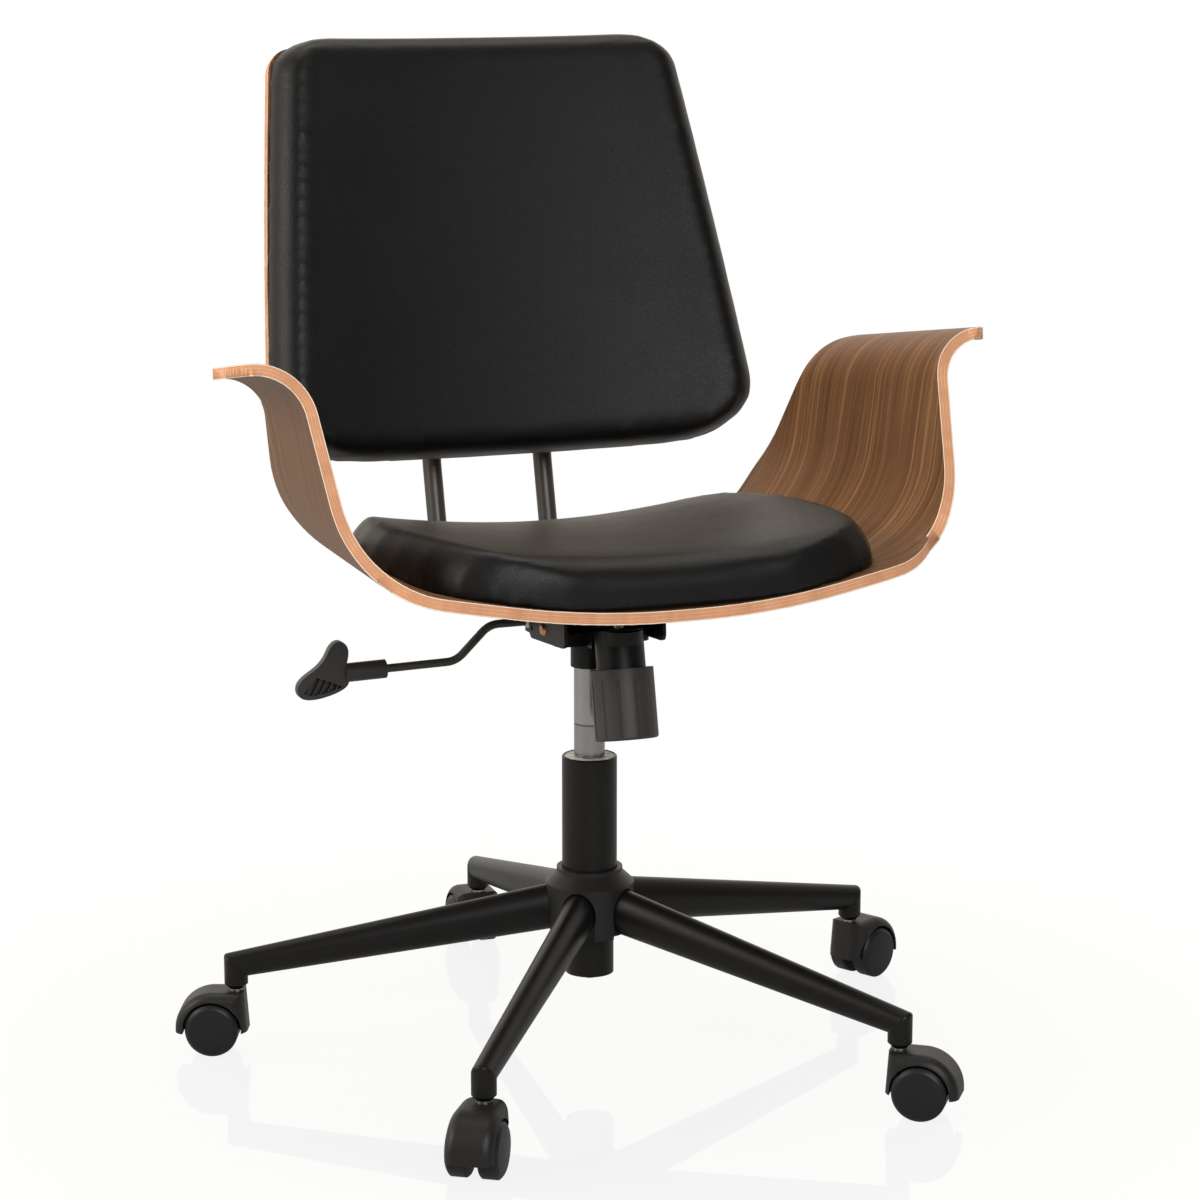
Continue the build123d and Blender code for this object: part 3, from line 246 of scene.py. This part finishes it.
def addBarrelRing(mat):
    tree = mat.node_tree
    shader = next(n for n in tree.nodes if n.type == "BSDF_PRINCIPLED")
    plain = shader.inputs["Base Color"].links[0].from_socket
    where = addNode(tree, "SeparateXYZ")
    feed(tree, objectCoords(tree), where.inputs[0])
    rise = calc(tree, "SUBTRACT", where.outputs["Z"], barrel["ringHeight"])
    isLow = calc(tree, "LESS_THAN", rise, 0.0)
    isRing = calc(tree, "LESS_THAN", calc(tree, "ABSOLUTE", rise), barrel["ringHalf"])
    low, ring = span(tree, isLow, 1.0, barrel["lowTone"]), span(tree, isRing, 1.0, barrel["ringTone"])
    tone = calc(tree, "MULTIPLY", low, ring)
    feed(tree, scaleColor(tree, plain, tone), shader.inputs["Base Color"])


addBarrelRing(groundSteel)

bySlot = {
    "black_metal": powderCoat,
    "black_plastic": hoodPlastic,
    "wheel_plastic": wheelNylon,
    "pale_plastic": paleAcetal,
    "grey_steel": groundSteel,
    "plated_steel": zincSteel,
    "copper_rivet": copperRivet,
}
# the back tubes and lever rod take the lighter copy of the powder coat, with painted light in its colour
byNode = {name: paintedLightTubeCoat for name in ("back_tube_left", "back_tube_right", "lever_rod")}
byNode["tension_knob"] = byNode["lever_paddle"] = knobPlastic
for entry in frame["record"]["subparts"]:
    if entry["material_slot"] in bySlot:
        item = nodes[entry["node"]]
        item.data.materials.clear()
        item.data.materials.append(byNode.get(entry["node"], bySlot[entry["material_slot"]]))
print("finishes on the metal and plastic")


# leatherette: pebbles are cells warped by noise, with painted shade darkening the creases, under a slow cloudy tone
# and a faint sheen
leather = dict(
    base=(0.0042, 0.0038, 0.0042), worn=(0.0090, 0.0083, 0.0084), paintedCreaseShade=(0.0005, 0.0005, 0.0005),
    cell=0.0020, scatter=0.95, warpScale=260.0, warpReach=(0.0016, 0.0016, 0.0016), pebbleEdge=(0.0, 0.32),
    cloudScale=14.0, fineScale=2400.0, fineHeight=0.12, relief=0.16, depth=0.0003,
    rough=0.41, cloudRough=0.14, creaseRough=0.10, specular=0.24,
    sheen=0.08, sheenRough=0.3, sheenTint=(1.0, 0.78, 0.58, 1))


def makeLeather():
    mat, tree, shader = newMaterial("blackLeatherette")
    where = objectCoords(tree)
    cells = addNode(tree, "TexVoronoi", feature="DISTANCE_TO_EDGE")
    cells.inputs["Scale"].default_value = 1 / leather["cell"]
    cells.inputs["Randomness"].default_value = leather["scatter"]
    warp = noise(tree, where, leather["warpScale"], 2)
    feed(tree, pushed(tree, where, warp, leather["warpReach"]), cells.inputs["Vector"])
    pebble = span(tree, cells.outputs["Distance"], 0.0, 1.0, leather["pebbleEdge"])
    cloud = noise(tree, where, leather["cloudScale"], 4, 0.6)
    fine = noise(tree, where, leather["fineScale"], 2)
    tone = mixColor(tree, cloud, leather["base"], leather["worn"])
    inCrease = calc(tree, "SUBTRACT", 1.0, pebble)
    # painted shade: the creases between pebbles get a near-black colour in place of the shade that falls in them
    feed(tree, mixColor(tree, inCrease, tone, leather["paintedCreaseShade"]), shader.inputs["Base Color"])
    gloss = calc(tree, "MULTIPLY_ADD", centred(tree, cloud), leather["cloudRough"], leather["rough"])
    gloss = calc(tree, "MULTIPLY_ADD", inCrease, leather["creaseRough"], gloss)
    feed(tree, gloss, shader.inputs["Roughness"])
    height = calc(tree, "MULTIPLY_ADD", fine, leather["fineHeight"], pebble)
    feed(tree, bump(tree, height, leather["relief"], leather["depth"]), shader.inputs["Normal"])
    shader.inputs["Specular IOR Level"].default_value = leather["specular"]
    shader.inputs["Sheen Weight"].default_value = leather["sheen"]
    shader.inputs["Sheen Roughness"].default_value = leather["sheenRough"]
    shader.inputs["Sheen Tint"].default_value = leather["sheenTint"]
    return mat


leatherette = makeLeather()


# walnut on bent ply: the map's u runs along the grain, v across it, plyDepth goes 0 to 1 through the sheet
veneer = dict(
    light=(0.365, 0.190, 0.087), mid=(0.150, 0.066, 0.0245), dark=(0.038, 0.0135, 0.0045),
    stops=(0.37, 0.47, 0.53, 0.63), bendReach=(0.0, 0.030, 0.0),
    bend=dict(stretch=(2.0, 7.0, 1.0), detail=2),
    broad=dict(stretch=(1.0, 34.0, 1.0), detail=2),
    streak=dict(stretch=(2.0, 190.0, 1.0), detail=4, rough=0.65),
    thread=dict(stretch=(5.0, 620.0, 1.0), detail=3, rough=0.6),
    fibre=dict(stretch=(40.0, 1900.0, 1.0), detail=3, rough=0.6),
    glint=dict(stretch=(1.6, 430.0, 1.0), detail=2),
    broadShare=0.22, streakShare=0.46, threadShare=0.32,
    poreRange=(0.55, 0.68), poreShare=0.42, glintRange=(0.60, 0.70), glintShare=0.45,
    rough=0.42, fibreRough=0.16, edgeRough=0.14, threadHeight=0.5, relief=0.10, depth=0.0003, specular=0.25)
plyEdge = dict(
    pale=(0.94, 0.83, 0.66), warm=(0.84, 0.450, 0.260), deep=(0.68, 0.330, 0.175), glue=(0.26, 0.100, 0.048),
    plies=7.0, patches=dict(stretch=(45.0, 45.0, 1.0), detail=4, rough=0.6), patchRange=(0.35, 0.65),
    oddShare=0.7, glueFrom=0.41, glueShare=0.40, gluePatch=0.35, rim=0.075, skin=0.012)


def makeWalnut():
    mat, tree, shader = newMaterial("walnutBentPly")
    where = addNode(tree, "UVMap", uv_map="grainMap").outputs[0]
    depth = addNode(tree, "Attribute", attribute_name="plyDepth").outputs["Fac"]

    # veneer: streaks of four widths, each a noise drawn out along the grain and bent by a slow wave
    flow = pushed(tree, where, noise(tree, where, **veneer["bend"]), veneer["bendReach"])
    broad, streak, thread, fibre, glint = (
        noise(tree, flow, **veneer[key]) for key in ("broad", "streak", "thread", "fibre", "glint"))
    figure = calc(tree, "MULTIPLY", broad, veneer["broadShare"])
    figure = calc(tree, "MULTIPLY_ADD", streak, veneer["streakShare"], figure)
    figure = calc(tree, "MULTIPLY_ADD", thread, veneer["threadShare"], figure)
    tones = (veneer["dark"], veneer["mid"], veneer["mid"], veneer["light"])
    face = ramp(tree, figure, list(zip(veneer["stops"], tones)))
    pores = span(tree, fibre, 0.0, 1.0, veneer["poreRange"])
    face = mixColor(tree, calc(tree, "MULTIPLY", pores, veneer["poreShare"]), face, veneer["dark"])
    glow = span(tree, glint, 0.0, 1.0, veneer["glintRange"])
    face = mixColor(tree, calc(tree, "MULTIPLY", glow, veneer["glintShare"]), face, veneer["light"])

    # cut edge: plies by depth, every other one deeper in tone, glue lines between them, pale outer veneers
    ply = calc(tree, "MULTIPLY", depth, plyEdge["plies"])
    halfCount = calc(tree, "MULTIPLY", calc(tree, "FLOOR", ply), 0.5)
    odd = calc(tree, "MULTIPLY", calc(tree, "FRACT", halfCount), 2.0)
    patchy = span(tree, noise(tree, where, **plyEdge["patches"]), 0.0, 1.0, plyEdge["patchRange"])
    wood = mixColor(tree, patchy, plyEdge["warm"], plyEdge["deep"])
    wood = mixColor(tree, calc(tree, "MULTIPLY", odd, plyEdge["oddShare"]), wood, plyEdge["deep"])
    fromPlyMiddle = calc(tree, "ABSOLUTE", centred(tree, calc(tree, "FRACT", ply)))
    isGlue = calc(tree, "GREATER_THAN", fromPlyMiddle, plyEdge["glueFrom"])
    glueTone = calc(tree, "MULTIPLY_ADD", patchy, plyEdge["gluePatch"], plyEdge["glueShare"])
    wood = mixColor(tree, calc(tree, "MULTIPLY", isGlue, glueTone), wood, plyEdge["glue"])
    fromFace = calc(tree, "SUBTRACT", 0.5, calc(tree, "ABSOLUTE", centred(tree, depth)))
    wood = mixColor(tree, calc(tree, "LESS_THAN", fromFace, plyEdge["rim"]), wood, plyEdge["pale"])
    isEdge = calc(tree, "GREATER_THAN", fromFace, plyEdge["skin"])

    feed(tree, mixColor(tree, isEdge, face, wood), shader.inputs["Base Color"])
    gloss = calc(tree, "MULTIPLY_ADD", fibre, veneer["fibreRough"], veneer["rough"])
    feed(tree, calc(tree, "MULTIPLY_ADD", isEdge, veneer["edgeRough"], gloss), shader.inputs["Roughness"])
    height = calc(tree, "MULTIPLY_ADD", thread, veneer["threadHeight"], calc(tree, "SUBTRACT", 1.0, pores))
    feed(tree, bump(tree, height, veneer["relief"], veneer["depth"]), shader.inputs["Normal"])
    shader.inputs["Specular IOR Level"].default_value = veneer["specular"]
    return mat


walnut = makeWalnut()
weldDistance = 2e-6
sharpAngle = 32


def copyMesh(node, name):
    mesh = nodes[node].data.copy()
    mesh.name = name
    tool = bmesh.new()
    tool.from_mesh(mesh)
    bmesh.ops.remove_doubles(tool, verts=tool.verts, dist=weldDistance)
    bmesh.ops.recalc_face_normals(tool, faces=tool.faces)
    tool.to_mesh(mesh)
    tool.free()
    mesh.materials.clear()
    piece = bpy.data.objects.new(name, mesh)
    scene.collection.objects.link(piece)
    return piece


def readVectors(mesh, key):
    flat = np.empty(len(mesh.vertices) * 3)
    mesh.vertices.foreach_get(key, flat)
    return flat.reshape(-1, 3)


def readPoints(mesh):
    return readVectors(mesh, "co")


def writePly(mesh, along, across, depth):
    # stores the sheet's own coordinates: metres along and across the grain, and depth 0 to 1
    layer = mesh.uv_layers.new(name="grainMap")
    corner = np.empty(len(mesh.loops), dtype=np.int32)
    mesh.loops.foreach_get("vertex_index", corner)
    spots = np.stack([along[corner], across[corner]], axis=1)
    layer.data.foreach_set("uv", spots.ravel().astype(np.float32))
    mesh.attributes.new("plyDepth", "FLOAT", "POINT").data.foreach_set("value", depth.astype(np.float32))
    mesh.shade_smooth()
    mesh.set_sharp_from_angle(angle=math.radians(sharpAngle))
    mesh.materials.append(walnut)


# the seat's bent sheet: pitch in degrees, places in metres, the two form lines in millimetres and degrees
seatForm = dict(
    pitch=4.2, datum=0.4362, ply=0.0105, front=-0.240, rear=0.190, arcSteps=26,
    frontLine=dict(flat=13.1, toe=800, rise=10, ramp=64, bend=88, lean=80.5, arm=86.8,
                   lipBend=54, lipFall=3, lip=38),
    rearLine=dict(flat=4.1, toe=560, rise=10, ramp=32.1, bend=130, lean=81, arm=29.6,
                  lipBend=52, lipFall=3, lip=44))


def sheetLine(form, depth):
    # a line of straight runs and arcs: heading turns by a fixed angle over each piece, and the points are the
    # running sum of short chords taken along the heading; depth moves the whole line below the upper face
    rise, lean, fall = form["rise"], form["lean"], form["lipFall"]
    runs = (
        (form["flat"], 0, 0),
        (form["toe"] + depth, 0, rise),
        (form["ramp"], rise, 0),
        (form["bend"] + depth, rise, lean - rise),
        (form["arm"], lean, 0),
        (form["lipBend"] - depth, lean, -lean - fall),
        (form["lip"], -fall, 0))
    steps = seatForm["arcSteps"]
    lengths = np.array([abs(math.radians(turn)) * size if turn else size for size, start, turn in runs])
    starts = np.radians([start for size, start, turn in runs])
    turns = np.radians([turn for size, start, turn in runs])
    share = (np.arange(steps) + 0.5) / steps
    heading = starts[:, None] + turns[:, None] * share[None, :]
    half = turns[:, None] / steps / 2
    chord = (lengths[:, None] / steps) * np.sinc(half / np.pi)
    across = np.concatenate([[0.0], np.cumsum((chord * np.cos(heading)).ravel())])
    upward = np.concatenate([[-depth], -depth + np.cumsum((chord * np.sin(heading)).ravel())])
    return np.stack([across, upward], axis=1) / 1000


def seatLocal(points):
    # turns world points into the seat's pitched frame: across, rearward, upward
    p = math.radians(seatForm["pitch"])
    y, z = points[:, 1], points[:, 2] - seatForm["datum"]
    rearward = y * math.cos(p) - z * math.sin(p)
    upward = y * math.sin(p) + z * math.cos(p)
    return np.stack([points[:, 0], rearward, upward], axis=1)


def onSheet(local):
    # nearest place on the bent sheet: the line at each point's own station is the straight blend of the front
    # and rear lines; the place is the closest foot on the middle line, and depth is measured across the sheet
    thick = seatForm["ply"] * 1000
    blendBy = ((local[:, 1] - seatForm["front"]) / (seatForm["rear"] - seatForm["front"]))[:, None, None]
    top, low = (
        sheetLine(seatForm["frontLine"], depth)[None] * (1 - blendBy)
        + sheetLine(seatForm["rearLine"], depth)[None] * blendBy for depth in (0, thick))
    middle = (top + low) / 2
    spot = np.stack([np.abs(local[:, 0]), local[:, 2]], axis=1)[:, None, :]
    a, b = middle[:, :-1], middle[:, 1:]
    ab = b - a
    t = np.clip(((spot - a) * ab).sum(-1) / np.maximum((ab ** 2).sum(-1), 1e-12), 0, 1)
    gap = ((a + ab * t[..., None] - spot) ** 2).sum(-1)
    best = gap.argmin(axis=1)
    rows = np.arange(len(local))
    share = t[rows, best][:, None]
    topFoot = top[rows, best] * (1 - share) + top[rows, best + 1] * share
    lowFoot = low[rows, best] * (1 - share) + low[rows, best + 1] * share
    acrossSheet = lowFoot - topFoot
    depth = ((spot[:, 0] - topFoot) * acrossSheet).sum(-1) / (acrossSheet ** 2).sum(-1)
    run = np.sqrt((ab ** 2).sum(-1)).cumsum(axis=1)
    lengths = np.concatenate([np.zeros((len(local), 1)), run], axis=1)
    along = lengths[rows, best] * (1 - share[:, 0]) + lengths[rows, best + 1] * share[:, 0]
    return along, depth


def makeSeatShell():
    piece = copyMesh("seat_shell", "seatShellPly")
    local = seatLocal(readPoints(piece.data))
    along, depth = onSheet(local)
    writePly(piece.data, along * np.sign(local[:, 0]), local[:, 1], depth)
    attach(piece, "seat")
    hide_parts("seat_shell")
    print("seat shell:", len(piece.data.vertices), "points, depth",
          round(float(depth.min()), 3), round(float(depth.max()), 3))


# the back's curved sheet in metres and degrees; grainShift moves its figure away from the seat's
backForm = dict(lean=17.6, y=0.209, z=0.523, radius=0.819, ply=0.0105, grainShift=(3.0, 2.0))


def backLocal(points):
    # turns world points into the back's frame: arc length across, height up the lean, depth behind the front face
    lean = math.radians(backForm["lean"])
    y, z = points[:, 1] - backForm["y"], points[:, 2] - backForm["z"]
    up = y * math.sin(lean) + z * math.cos(lean)
    rear = y * math.cos(lean) - z * math.sin(lean)
    radius = np.hypot(points[:, 0], rear + backForm["radius"])
    arc = np.arctan2(points[:, 0], rear + backForm["radius"]) * backForm["radius"]
    return arc, up, radius - backForm["radius"]


def makeBackShell():
    piece = copyMesh("backrest_shell", "backrestPly")
    arc, up, behind = backLocal(readPoints(piece.data))
    shiftUp, shiftAcross = backForm["grainShift"]
    writePly(piece.data, up + shiftUp, arc + shiftAcross, behind / backForm["ply"])
    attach(piece, "seat")
    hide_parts("backrest_shell")
    print("backrest ply:", len(piece.data.vertices), "points")


makeSeatShell()
makeBackShell()


# cushions: the pad is remeshed, evened out, drawn in a little, bedded on its ply and blown up as cloth; only the
# outward part of the cloth's movement is kept, so the faces crown and the rim stays at the pad's own outline
padding = dict(
    voxel=0.005, inOut=(0.5, -0.53), relax=18, shrink=0.001, bed=0.0015, heldFrom=0.55, heldOver=0.5,
    pressure=4.0, tension=15.0, bending=0.5, frames=20, cap=0.0022, spreadShare=0.5, spread=160, fill=0.85)
seatPad = dict(padding, wider=0.004, taller=0.0, lean=0.0)
backPad = dict(padding, wider=0.016, taller=0.010, lean=17.6)


def evenOut(points, edges, shares):
    # each step moves every point by a share of the way to the mean of its neighbours; steps of half way in and
    # slightly more back out take away facets and creases but keep the volume
    count = np.bincount(edges.ravel(), minlength=len(points))[:, None]
    for share in shares:
        total = np.zeros_like(points)
        np.add.at(total, edges[:, 0], points[edges[:, 1]])
        np.add.at(total, edges[:, 1], points[edges[:, 0]])
        points = points + (total / count - points) * share
    return points


def writePoints(mesh, points):
    mesh.vertices.foreach_set("co", points.ravel())
    mesh.update()


def remeshed(piece, name, voxel):
    mod = piece.modifiers.new("voxels", "REMESH")
    mod.mode = "VOXEL"
    mod.voxel_size = voxel
    bpy.context.view_layer.update()
    made = bpy.data.meshes.new_from_object(piece.evaluated_get(bpy.context.evaluated_depsgraph_get()))
    piece.modifiers.clear()
    piece.data = made
    made.name = name
    return made


def letOut(points, pad):
    # the remesh rounds the rim off, so the pad is let out a little about its own middle, across and up its lean
    fromMiddle = points - (points.min(axis=0) + points.max(axis=0)) / 2
    lean = math.radians(pad["lean"])
    rise = np.array([0.0, math.sin(lean), math.cos(lean)])
    grown = np.outer(fromMiddle @ rise, rise) * pad["taller"]
    grown[:, 0] += fromMiddle[:, 0] * pad["wider"]
    return points + grown


def blownUp(piece, pad):
    cloth = piece.modifiers.new("cloth", "CLOTH")
    cloth.settings.use_pressure = True
    cloth.settings.uniform_pressure_force = pad["pressure"]
    cloth.settings.tension_stiffness = pad["tension"]
    cloth.settings.compression_stiffness = pad["tension"]
    cloth.settings.bending_stiffness = pad["bending"]
    cloth.settings.effector_weights.gravity = 0
    for step in range(1, pad["frames"] + 1):
        scene.frame_set(step)
    solved = piece.evaluated_get(bpy.context.evaluated_depsgraph_get()).to_mesh()
    result = readPoints(solved)
    piece.modifiers.clear()
    scene.frame_set(1)
    return result


def puffPad(node, name, pad, towardsPly):
    piece = copyMesh(node, name)
    made = remeshed(piece, name, pad["voxel"])
    edges = np.empty(len(made.edges) * 2, dtype=np.int32)
    made.edges.foreach_get("vertices", edges)
    edges = edges.reshape(-1, 2)
    writePoints(made, evenOut(readPoints(made), edges, pad["inOut"] * pad["relax"]))
    writePoints(made, letOut(readPoints(made), pad))
    start, normal = readPoints(made), readVectors(made, "normal")
    # 0 on the face that lies on the ply, rising to 1 on the sides and the far face
    free = np.clip((pad["heldFrom"] - normal @ np.array(towardsPly)) / pad["heldOver"], 0, 1)[:, None]
    small = start - normal * pad["shrink"] * free + normal * pad["bed"] * (1 - free)
    writePoints(made, small)
    result = blownUp(piece, pad)
    swell = ((result - small) * normal).sum(axis=1, keepdims=True)
    swell = evenOut(np.clip(swell, 0, pad["cap"]), edges, (pad["spreadShare"],) * pad["spread"])
    writePoints(made, small + normal * swell * free)
    made.materials.clear()
    made.materials.append(leatherette)
    made.shade_smooth()
    finer = piece.modifiers.new("finer", "SUBSURF")
    finer.levels = finer.render_levels = 1
    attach(piece, "seat")
    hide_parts(node)
    print(name, len(made.vertices), "points, largest swell", round(float(swell.max()) * 1000, 2), "mm")


puffPad("seat_pad", "seatCushion", seatPad, (0.0, 0.0, -1.0))
puffPad("backrest_pad", "backCushion", backPad, (0.0, 1.0, 0.0))


# studio: white backdrop behind, a dimmer room in front, and a white floor that keeps a pale shadow and mirror image
room = dict(rear=1.4, front=0.06, rearRange=(-0.4, 0.6), overhead=0.35, overheadRange=(0.35, 0.8),
            tone=(1.0, 0.94, 0.86, 1))
ground = dict(half=14.0, tone=(0.5, 0.5, 0.5, 1), shade=0.08, shadeRange=(0.30, 0.75), mirror=0.06,
              mirrorRough=0.02, mirrorRange=(0.65, 1.2), facingBlend=0.5, facingRange=(0.3, 0.6), glossySeen=0.2)
lamps = (
    dict(name="frontLamp", spot=(-0.28, -3.1, 1.9), aim=(0, 0, 0.55), size=(1.5, 1.1),
         power=72, tone=(1.0, 0.985, 0.985)),
    dict(name="leftLamp", spot=(-2.7, 0.1, 1.7), aim=(0, 0, 0.5), size=(1.0, 1.4),
         power=46, tone=(1.0, 0.95, 0.88)),
    dict(name="topLamp", spot=(0.1, 0.6, 3.1), aim=(0, 0, 0.5), size=(2.2, 1.6),
         power=42, tone=(1.0, 0.95, 0.87)))


def blendShaders(tree, fac, first, second):
    node = addNode(tree, "MixShader")
    for value, socket in zip((fac, first.outputs[0], second.outputs[0]), node.inputs):
        feed(tree, value, socket)
    return node


def isSeen(tree, path):
    return calc(tree, "MAXIMUM", path.outputs["Is Camera Ray"], path.outputs["Is Transmission Ray"])


def makeWorld():
    world = bpy.data.worlds.new("studioWorld")
    scene.world = world
    world.use_nodes = True
    tree = world.node_tree
    tree.nodes.clear()
    out = addNode(tree, "OutputWorld")
    fill, white = addNode(tree, "Background"), addNode(tree, "Background")
    fill.inputs["Color"].default_value = room["tone"]
    white.inputs["Color"].default_value = (1, 1, 1, 1)
    where = addNode(tree, "SeparateXYZ")
    feed(tree, addNode(tree, "TexCoord").outputs["Generated"], where.inputs[0])
    behind = span(tree, where.outputs["Y"], 0.0, room["rear"] - room["front"], room["rearRange"])
    dimming = span(tree, where.outputs["Z"], 1.0, room["overhead"], room["overheadRange"])
    strength = calc(tree, "ADD", calc(tree, "MULTIPLY", behind, dimming), room["front"])
    feed(tree, strength, fill.inputs["Strength"])
    pick = blendShaders(tree, isSeen(tree, addNode(tree, "LightPath")), fill, white)
    feed(tree, pick.outputs[0], out.inputs[0])


def makeFloor():
    half = ground["half"]
    mesh = bpy.data.meshes.new("studioFloor")
    corners = [(-half, -half, 0), (half, -half, 0), (half, half, 0), (-half, half, 0)]
    mesh.from_pydata(corners, [], [(0, 1, 2, 3)])
    floor = bpy.data.objects.new("studioFloor", mesh)
    scene.collection.objects.link(floor)
    mat = bpy.data.materials.new("paleFloor")
    mat.use_nodes = True
    tree = mat.node_tree
    tree.nodes.clear()
    out = addNode(tree, "OutputMaterial")
    matte, glow, mirror = addNode(tree, "BsdfDiffuse"), addNode(tree, "Emission"), addNode(tree, "BsdfGlossy")
    matte.inputs["Color"].default_value = ground["tone"]
    mirror.inputs["Roughness"].default_value = ground["mirrorRough"]
    path = addNode(tree, "LightPath")
    away = addNode(tree, "VectorMath", operation="LENGTH")
    feed(tree, objectCoords(tree), away.inputs[0])
    distance = away.outputs["Value"]
    # the floor glows white to the eye and dims near the chair, where the matte part shows its shadow
    byGlossy = calc(tree, "MULTIPLY", path.outputs["Is Glossy Ray"], ground["glossySeen"])
    seen = calc(tree, "ADD", byGlossy, isSeen(tree, path), clamp=True)
    shaded = span(tree, distance, 1.0 - ground["shade"], 1.0, ground["shadeRange"])
    plain = blendShaders(tree, calc(tree, "MULTIPLY", seen, shaded), matte, glow)
    # it mirrors only near the chair and at a low angle, as a waxed floor does; from above it is plain white
    shiny = span(tree, distance, ground["mirror"], 0.0, ground["mirrorRange"])
    tilt = addNode(tree, "LayerWeight")
    tilt.inputs["Blend"].default_value = ground["facingBlend"]
    grazing = span(tree, tilt.outputs["Facing"], 0.0, 1.0, ground["facingRange"])
    shiny = calc(tree, "MULTIPLY", shiny, grazing)
    polish = blendShaders(tree, calc(tree, "MULTIPLY", path.outputs["Is Camera Ray"], shiny), plain, mirror)
    feed(tree, polish.outputs[0], out.inputs["Surface"])
    mesh.materials.append(mat)


def aimed(direction):
    return Vector(direction).to_track_quat("-Z", "Y").to_euler()


def makeLamps():
    for lamp in lamps:
        data = bpy.data.lights.new(lamp["name"], "AREA")
        data.shape = "RECTANGLE"
        data.size, data.size_y = lamp["size"]
        data.energy = lamp["power"]
        data.color = lamp["tone"]
        obj = bpy.data.objects.new(lamp["name"], data)
        obj.location = lamp["spot"]
        obj.visible_camera = False
        obj.rotation_euler = aimed(Vector(lamp["aim"]) - Vector(lamp["spot"]))
        scene.collection.objects.link(obj)


makeWorld()
makeFloor()
makeLamps()

shot = dict(spot=(-1.0971, -2.7729, 1.0285), heading=21.77, down=11.56, lens=101.67, sensor=36)


def makeCamera():
    data = bpy.data.cameras.new("photoCamera")
    data.sensor_width = shot["sensor"]
    data.lens = shot["lens"]
    cam = bpy.data.objects.new("photoCamera", data)
    cam.location = shot["spot"]
    turn, drop = math.radians(shot["heading"]), math.radians(shot["down"])
    level = math.cos(drop)
    cam.rotation_euler = aimed((math.sin(turn) * level, math.cos(turn) * level, -math.sin(drop)))
    scene.collection.objects.link(cam)
    scene.camera = cam


makeCamera()
print("studio and camera ready")
